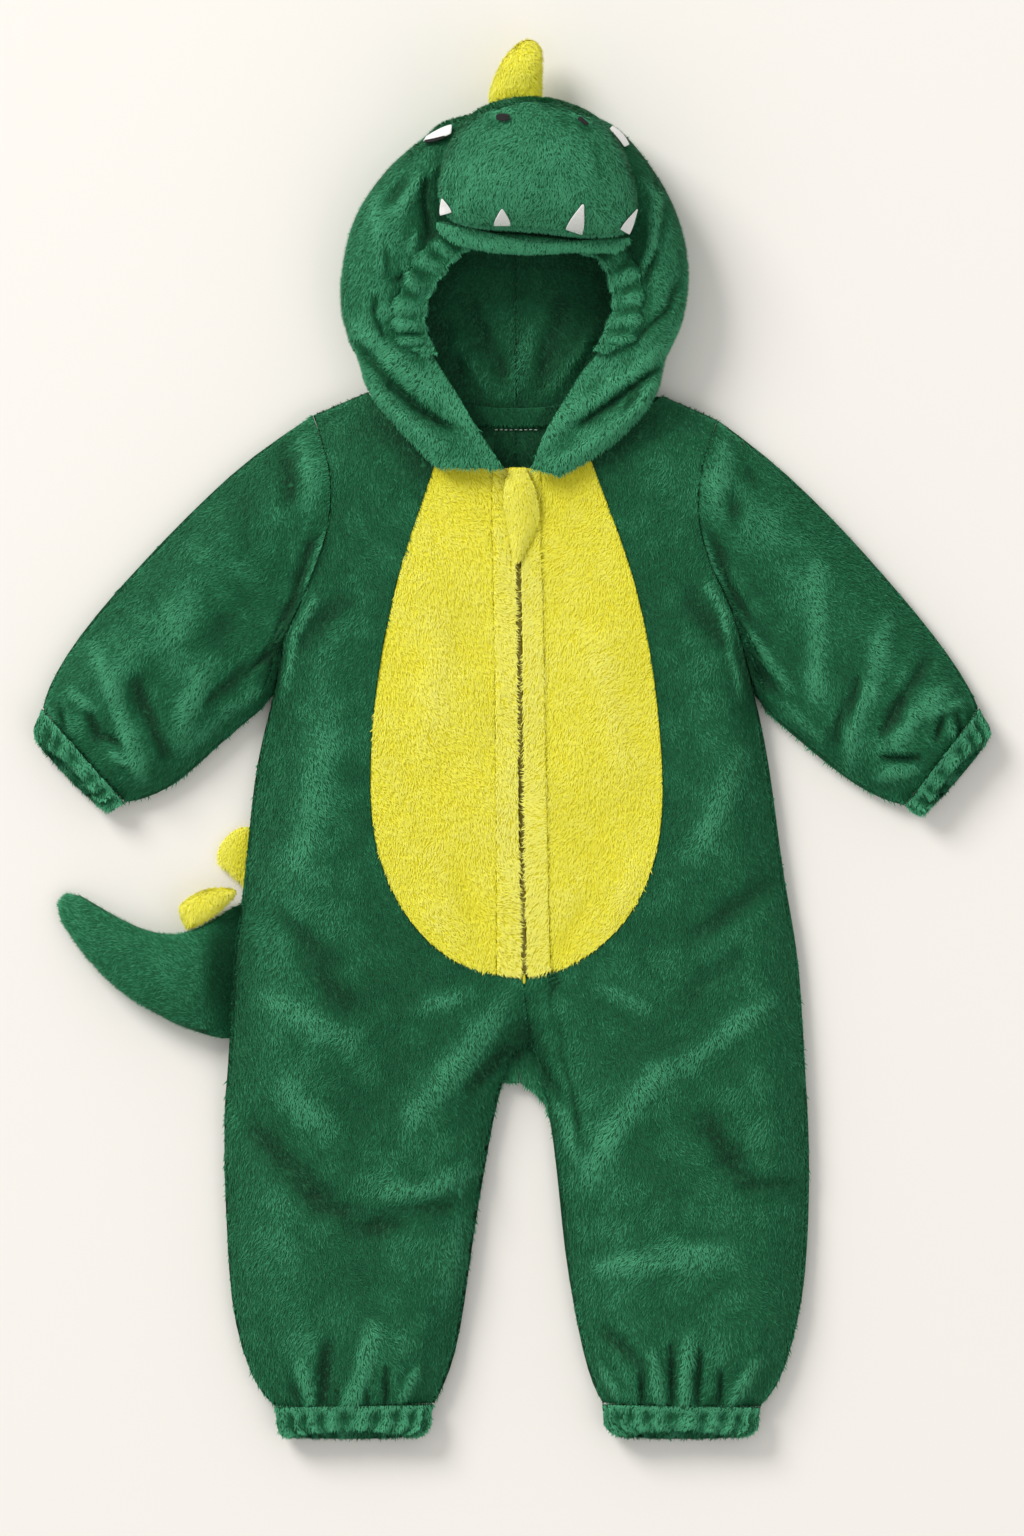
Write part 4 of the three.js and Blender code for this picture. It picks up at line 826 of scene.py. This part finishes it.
def blade_corners(root, normal, way, length, lean, walls, rng):
    count, upright = len(root), np.abs(normal[:, 2])
    tilt = np.clip(rng.normal(lean, lean_spread, count), least_lean, most_lean)
    tilt = np.radians(tilt) * np.minimum(0.35 + upright, 1)
    reach = length * rng.uniform(shortest, longest, count) * np.minimum(0.42 + upright, 1)
    reach *= np.where(normal[:, 2] < under_side, short_below, 1.0)
    across = np.cross(normal, way) * (blade_width * rng.uniform(0.7, 1.3, count))[:, None]
    steep = rise(upright, 0.65, -0.35)[:, None]
    laid = way * np.cos(tilt)[:, None] + normal * np.sin(tilt)[:, None]
    standing = normal * walls[0] + way * 0.35 + np.array([0, 0, walls[1]])
    tip = root + (laid * (1 - steep) + standing * steep) * reach[:, None]
    foot = root + normal * root_lift
    blades = np.stack([foot + across, foot - across, tip], 1)
    blades[:, :, 2] = np.maximum(blades[:, :, 2], lowest_blade)
    return blades


# %% Blade shading
cloth_part, own_part, sky_part = 0.72, 0.28, 0.7    # shares of a blade's shading normal
# the relief adds painted shade in hollows and a painted highlight on ridges and at the outline
near_part, wide_part, painted_rim_light = 0.13, 0.17, 0.26   # shares of the relief in the shade
common_shade, patchy_shade, stray_shade = 0.36, 0.04, 0.09
darker_root, paler_tip = 0.13, 0.21
upper_side = 0.35        # normals above this are shaded by the map


def blade_normals(blades, normal):
    own = unit(np.cross(blades[:, 1] - blades[:, 0], blades[:, 2] - blades[:, 0]))
    upward = (1 - np.abs(normal[:, 2:])) * (normal[:, 2:] > under_side)
    return unit(cloth_part * normal + own_part * own + np.array([0, 0, sky_part]) * upward)


def blade_shades(root, normal, ridge, seed, rng, paler, depth, painted_fold_shade, side):
    near, wide, rim = relief(root)
    painted_relief = near_part * near + wide_part * wide + painted_rim_light * rim
    # blades on walls and undersides take the fixed value side instead: painted light and shade for
    # how those walls face the lamp
    painted_relief = np.where(normal[:, 2] > upper_side, painted_relief, side)
    patches = patchy_shade * swirl(root, seed + 3)
    # ridge paints shade into fold troughs and gather valleys and a highlight onto their crests
    shade = common_shade + paler + (painted_relief + patches) * depth + painted_fold_shade * ridge
    shade += rng.normal(0, stray_shade, len(root))
    low, high = shade - darker_root, shade + paler_tip
    return np.clip(np.stack([low, low, high], 1), 0, 1)


# %% Blade mesh
blade_on_square = np.array([[0.15, 0.15], [0.85, 0.15], [0.5, 0.85]])


def blade_mesh(name, blades, normals, shades):
    count = len(blades)
    mesh = bpy.data.meshes.new(name)
    mesh.vertices.add(count * 3)
    mesh.vertices.foreach_set("co", blades.ravel())
    mesh.loops.add(count * 3)
    mesh.loops.foreach_set("vertex_index", np.arange(count * 3))
    mesh.polygons.add(count)
    mesh.polygons.foreach_set("loop_start", np.arange(count) * 3)
    mesh.update(calc_edges=True)
    mesh.normals_split_custom_set_from_vertices(np.repeat(normals, 3, 0))
    mesh.attributes.new("shade", "FLOAT", "POINT").data.foreach_set("value", shades.ravel())
    row = math.ceil(math.sqrt(count))
    square = np.stack([np.arange(count) % row, np.arange(count) // row], 1)[:, None, :]
    layout = (square + blade_on_square) / row
    mesh.uv_layers.new(name="OFBake").data.foreach_set("uv", layout.ravel())
    return mesh


# %% Nap maker
swirl_turn, stray_turn = 0.9, 0.34      # radians


# side is the painted shade of blades on walls and undersides, set paler or darker per nap
def nap(
    name, pieces, count, hair, slot, seen, flow, seed,
    length=0.0036, lean=20, walls=(0.8, 0.6), paler=0.0, depth=1.0, painted_fold_shade=0.24, side=0.42,
):
    rng = np.random.default_rng(seed)
    count = count
    root, normal, ridge = scatter(pieces, count, seen, rng)
    turn = swirl_turn * swirl(root, seed) + rng.normal(0, stray_turn, count)
    way = stroked(flow(root), turn, normal)
    blades = blade_corners(root, normal, way, length, lean, walls, rng)
    shades = blade_shades(root, normal, ridge, seed, rng, paler, depth, painted_fold_shade, side)
    mesh = blade_mesh(name, blades, blade_normals(blades, normal), shades)
    piece = bpy.data.objects.new(name, mesh)
    bpy.context.scene.collection.objects.link(piece)
    mesh.materials.append(hair)
    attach(piece, "root")
    return piece


# %% [markdown]
# On the real suit the nap runs down the body and out along the sleeves, and the strips' nap leans
# in over the zip. A second set of small functions says how densely a face is covered. A face that
# looks up is the measure, the rim of a panel gets more, because it closes the seam, and a hidden
# face gets little or nothing.

# %% Which way the nap runs
zip_x = 0.0045


def flow_of(x, y):
    return np.stack([x, np.full(len(x), y), np.zeros(len(x))], 1)


def down(points):
    return flow_of(np.zeros(len(points)), -1.0)


def along_sleeve(points):
    return flow_of(np.sign(points[:, 0]) * 0.70, -0.72)


def over_hood(points):
    return flow_of(points[:, 0] * 4, -0.8)


def to_zip(points):
    return flow_of(np.sign(zip_x - points[:, 0]) * 0.62, -0.78)


def belly_way(points):
    return flow_of(np.sign(zip_x - points[:, 0]) * 0.35, -0.92)


def along_tail(points):
    return flow_of(np.full(len(points), -0.9), 0.25)


# %% Where the nap shows
def top_and_rim(rim):
    def seen(centre, normal):
        return np.where(normal[:, 2] > 0.45, 1.0, np.where(normal[:, 2] > -0.2, rim, 0.0))

    return seen


def outside_back(centre, normal):
    open_above = centre[:, 2] >= highest[cells(centre)] - 0.0025
    under = np.where(normal[:, 2] < -0.6, 0.5, np.where(open_above, 1.5, 0.0))
    return np.where(np.abs(normal[:, 2]) < 0.6, 1.2, under)


def everywhere(centre, normal):
    return np.where(normal[:, 2] < -0.5, 0.6, 1.0)


def hood_sides(centre, normal):
    low = centre[:, 2] < 0.014
    inside = np.where(normal[:, 2] < 0, 0.35, 0.8)
    return np.where(low, inside, np.where(normal[:, 2] < under_side, 0.08, 1.0))


outside_front, strip_faces = top_and_rim(1.8), top_and_rim(3.0)

# %% Naps


def both(*names):
    return [f"{name}_{side}" for name in names for side in sides]


spikes = ["head_spike", "tail_spike_upper", "tail_spike_lower"]
green, gathered = (green_hair, "green_plush"), (green_hair, "gathered_plush")
yellow = (yellow_hair, "yellow_plush")
nap_jobs = {
    # name: pieces, blades, hair and slot, where it shows, which way it runs, what is its own
    "front": (both("front"), 152000, green, outside_front, down, {}),
    "belly": (
        both("belly"), 54000, yellow, outside_front, belly_way,
        {"length": 0.0032, "depth": 0.7, "paler": 0.14},
    ),
    "zip_strip": (
        both("zip_strip"), 21000, yellow, strip_faces, to_zip,
        {"depth": 0.7, "paler": 0.26, "walls": (1.0, 0.4)},
    ),
    "sleeve": (both("sleeve_front"), 76000, green, outside_front, along_sleeve, {}),
    "hood": (both("hood"), 114000, green, hood_sides, over_hood, {"paler": 0.10}),
    "hood_casing": (
        both("hood_casing"), 20000, gathered, outside_front, over_hood,
        {"length": 0.003, "paler": 0.04, "painted_fold_shade": 0.2},
    ),
    # the cuffs' walls get a darker painted shade, and their gathers a stronger painted fold shade
    "cuff": (
        both("leg_cuff", "sleeve_cuff"), 40000, gathered, everywhere, down,
        {"length": 0.003, "paler": 0.25, "painted_fold_shade": 0.36, "side": 0.12},
    ),
    "back": (
        both("back", "sleeve_back"), 80000, green, outside_back, down,
        {"lean": 12, "paler": 0.08},
    ),
    # the snout's nap is painted paler, partly a painted highlight where it tilts to the lamp, and
    # its walls get a paler painted shade
    "snout": (
        ["snout"], 26000, green, everywhere, down,
        {"length": 0.0034, "paler": 0.18, "side": 0.5},
    ),
    # the underside is painted paler as well, painted light against the shade under the mouth
    "snout_underside": (
        ["snout_underside"], 8000, green, everywhere, down,
        {"length": 0.003, "paler": 0.24},
    ),
    "tail": (["tail"], 24000, green, everywhere, along_tail, {"paler": 0.04}),
    "spike": (spikes, 12000, yellow, everywhere, down, {"length": 0.0032}),
    "zip_leaf": (["zip_leaf"], 4000, yellow, everywhere, down, {"length": 0.003}),
    "neck_binding": (
        ["neck_binding"], 3000, gathered, outside_front, down,
        {"length": 0.003, "paler": 0.10},
    ),
}
plush = {**cloth, **stuffed}
naps = {}
for seed, (name, (grounds, count, dye, seen, flow, own)) in enumerate(nap_jobs.items(), 1):
    pieces = [plush[ground] for ground in grounds]
    naps[name] = nap(name + "_nap", pieces, count, *dye, seen, flow, seed, **own)
print("blades", {name: len(piece.data.polygons) for name, piece in naps.items()})

# %% [markdown]
# ## Zip
# The tape, the chain and the slider are bought in, and their solids already have the right
# shape, so they only get their finish.

# %% Zip
for node, finish in (
    ("zip_tape", zip_cloth), ("zip_chain", zip_moulding), ("zip_slider", zip_moulding),
):
    nodes[node].data.materials.clear()
    nodes[node].data.materials.append(finish)
    print(node, finish.name)

# %% [markdown]
# ## Zip teeth and sewing
# Moulded teeth stand on the chain, one to the left and one to the right by turns. A bar tack
# closes the lower end of the zip, and a row of pale stitches holds the neck binding at the back.
# A bump could draw them, but they stand up and throw shadows. So each is a small solid, set down
# on the cloth or chain below it.


# %% Small parts
def cloth_tree(name):
    mesh = plush[name].data
    return BVHTree.FromPolygons([v.co for v in mesh.vertices], [p.vertices for p in mesh.polygons])


def surface_height(trees, x, y):
    best = 0.0
    for tree in trees:
        hit = tree.ray_cast(Vector((x, y, 0.2)), Vector((0, 0, -1)))
        if hit[0]:
            best = max(best, hit[0].z)
    return best


def joined(name, made, finish):
    bpy.ops.object.select_all(action="DESELECT")
    for piece in made:
        piece.select_set(True)
    bpy.context.view_layer.objects.active = made[0]
    bpy.ops.object.join()
    bpy.ops.object.transform_apply(location=True, rotation=True, scale=True)
    piece = bpy.context.object
    piece.name = name
    piece.data.materials.clear()
    piece.data.materials.append(finish)
    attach(piece, "root")
    print(name, "from", len(made))
    return piece


# %% Zip teeth
tooth_size = (0.0017, 0.0014, 0.0008)
tooth_pitch, tooth_offset = 0.0026, 0.0005
first_gap, last_gap = 0.002, 0.001
chain = np.array([corner.co for corner in nodes["zip_chain"].data.vertices])
chain = chain[chain[:, 1].argsort()]
chain_y = np.unique(chain[:, 1].round(4))
chain_rows = [chain[np.abs(chain[:, 1] - y) < 0.0002] for y in chain_y]
chain_x = [row[:, 0].mean() for row in chain_rows]
chain_top = [row[:, 2].max() for row in chain_rows]
teeth = []
for k, y in enumerate(np.arange(chain_y[0] + first_gap, chain_y[-1] - last_gap, tooth_pitch)):
    x = np.interp(y, chain_y, chain_x) + (tooth_offset if k % 2 else -tooth_offset)
    bpy.ops.mesh.primitive_cube_add(size=1, location=(x, y, np.interp(y, chain_y, chain_top)))
    bpy.context.object.scale = tooth_size
    teeth.append(bpy.context.object)
joined("zip_teeth", teeth, zip_moulding)

# %% [markdown]
# The bar tack lies across the gap between the fronts, where a ray would fall through, so its
# height is taken from the cloth beside it.

# %% Bar tack
tack_x, tack_y = 0.0052, -0.1424
tack_radius, tack_shape = 0.001, (1.1, 3.2, 0.7)
fronts = [cloth_tree("front_left"), cloth_tree("front_right")]
tack_height = max(surface_height(fronts, tack_x + dx, tack_y) for dx in (-0.003, 0.003))
place = (tack_x, tack_y, tack_height + 0.0004)
bpy.ops.mesh.primitive_uv_sphere_add(
    segments=16, ring_count=8, radius=tack_radius, location=place,
)
bpy.context.object.scale = tack_shape
joined("zip_bar_tack", [bpy.context.object], yellow_ground)

# %% Neck stitches
stitch_count, stitch_pitch, first_stitch = 9, 0.0032, -0.0128
seam_y, seam_sway = 0.2148, 0.0001
stitch_radius, stitch_shape = 0.0005, (2.1, 0.8, 0.6)
stitch_lift = 0.0011
neck_cloth = [cloth_tree(name) for name in ("back_right", "back_left", "neck_binding")]
stitches = []
for k in range(stitch_count):
    x = first_stitch + k * stitch_pitch
    y = seam_y + seam_sway * math.sin(k * 2.1)
    under = max(surface_height(neck_cloth, x + dx, y) for dx in (-0.0012, 0, 0.0012))
    bpy.ops.mesh.primitive_ico_sphere_add(
        subdivisions=2, radius=stitch_radius, location=(x, y, under + stitch_lift),
    )
    bpy.context.object.scale = stitch_shape
    stitches.append(bpy.context.object)
neck_stitches = joined("neck_stitches", stitches, pale_thread)

# %% Cloth and stuffing
flat_cuts = {
    # node: width, length, flat area, what it lies on, nap
    "front_right": (0.205, 0.670, 0.0791, "back_right", "front"),
    "front_left": (0.195, 0.670, 0.0762, "back_left", None),
    "belly_right": (0.084, 0.340, 0.0227, "front_right", "belly"),
    "belly_left": (0.082, 0.340, 0.0210, "front_left", None),
    "zip_strip_right": (0.020, 0.334, 0.0058, "zip_tape", "zip_strip"),
    "zip_strip_left": (0.020, 0.334, 0.0057, "zip_tape", None),
    "sleeve_front_right": (0.150, 0.260, 0.0266, "sleeve_back_right", "sleeve"),
    "sleeve_front_left": (0.145, 0.260, 0.0252, "sleeve_back_left", None),
    "sleeve_back_right": (0.145, 0.260, 0.0254, "table_top", None),
    "sleeve_back_left": (0.140, 0.260, 0.0240, "table_top", None),
    "back_right": (0.200, 0.670, 0.1058, "table_top", "back"),
    "back_left": (0.198, 0.670, 0.1029, "table_top", None),
    "leg_cuff_right": (0.230, 0.021, 0.0047, "table_top", "cuff"),
    "leg_cuff_left": (0.230, 0.021, 0.0047, "table_top", None),
    "sleeve_cuff_right": (0.178, 0.018, 0.0029, "table_top", None),
    "sleeve_cuff_left": (0.178, 0.018, 0.0029, "table_top", None),
    "hood_right": (0.230, 0.260, 0.0422, "table_top", "hood"),
    "hood_left": (0.230, 0.260, 0.0428, "table_top", None),
    "hood_casing_right": (0.024, 0.145, 0.0033, "hood_right", "hood_casing"),
    "hood_casing_left": (0.024, 0.145, 0.0034, "hood_left", None),
    "neck_binding": (0.014, 0.100, 0.0013, "back_right", "neck_binding"),
    "zip_leaf": (0.024, 0.064, 0.0011, "zip_strip_left", "zip_leaf"),
}
for node, (width, length, area, under, pile) in flat_cuts.items():
    with_pieces = [naps[pile]] if pile else []
    if node == "neck_binding":
        with_pieces.append(neck_stitches)
print("declared", len(flat_cuts), "sheets and", len(stuffed), "stuffed pieces")

# %% [markdown]
# ## Table
# The suit lies on warm white paper. One flat sheet is enough, because nothing of its edge shows.

# %% Floor
bpy.ops.mesh.primitive_plane_add(size=8, location=(0, 0, 0))
floor = bpy.context.object
floor.name = "table_top"
paper = Finish("warm_white_paper").set(Base_Color=rgb(0.935, 0.905, 0.86), Roughness=0.9)
floor.data.materials.append(paper)
print("table", paper.name)
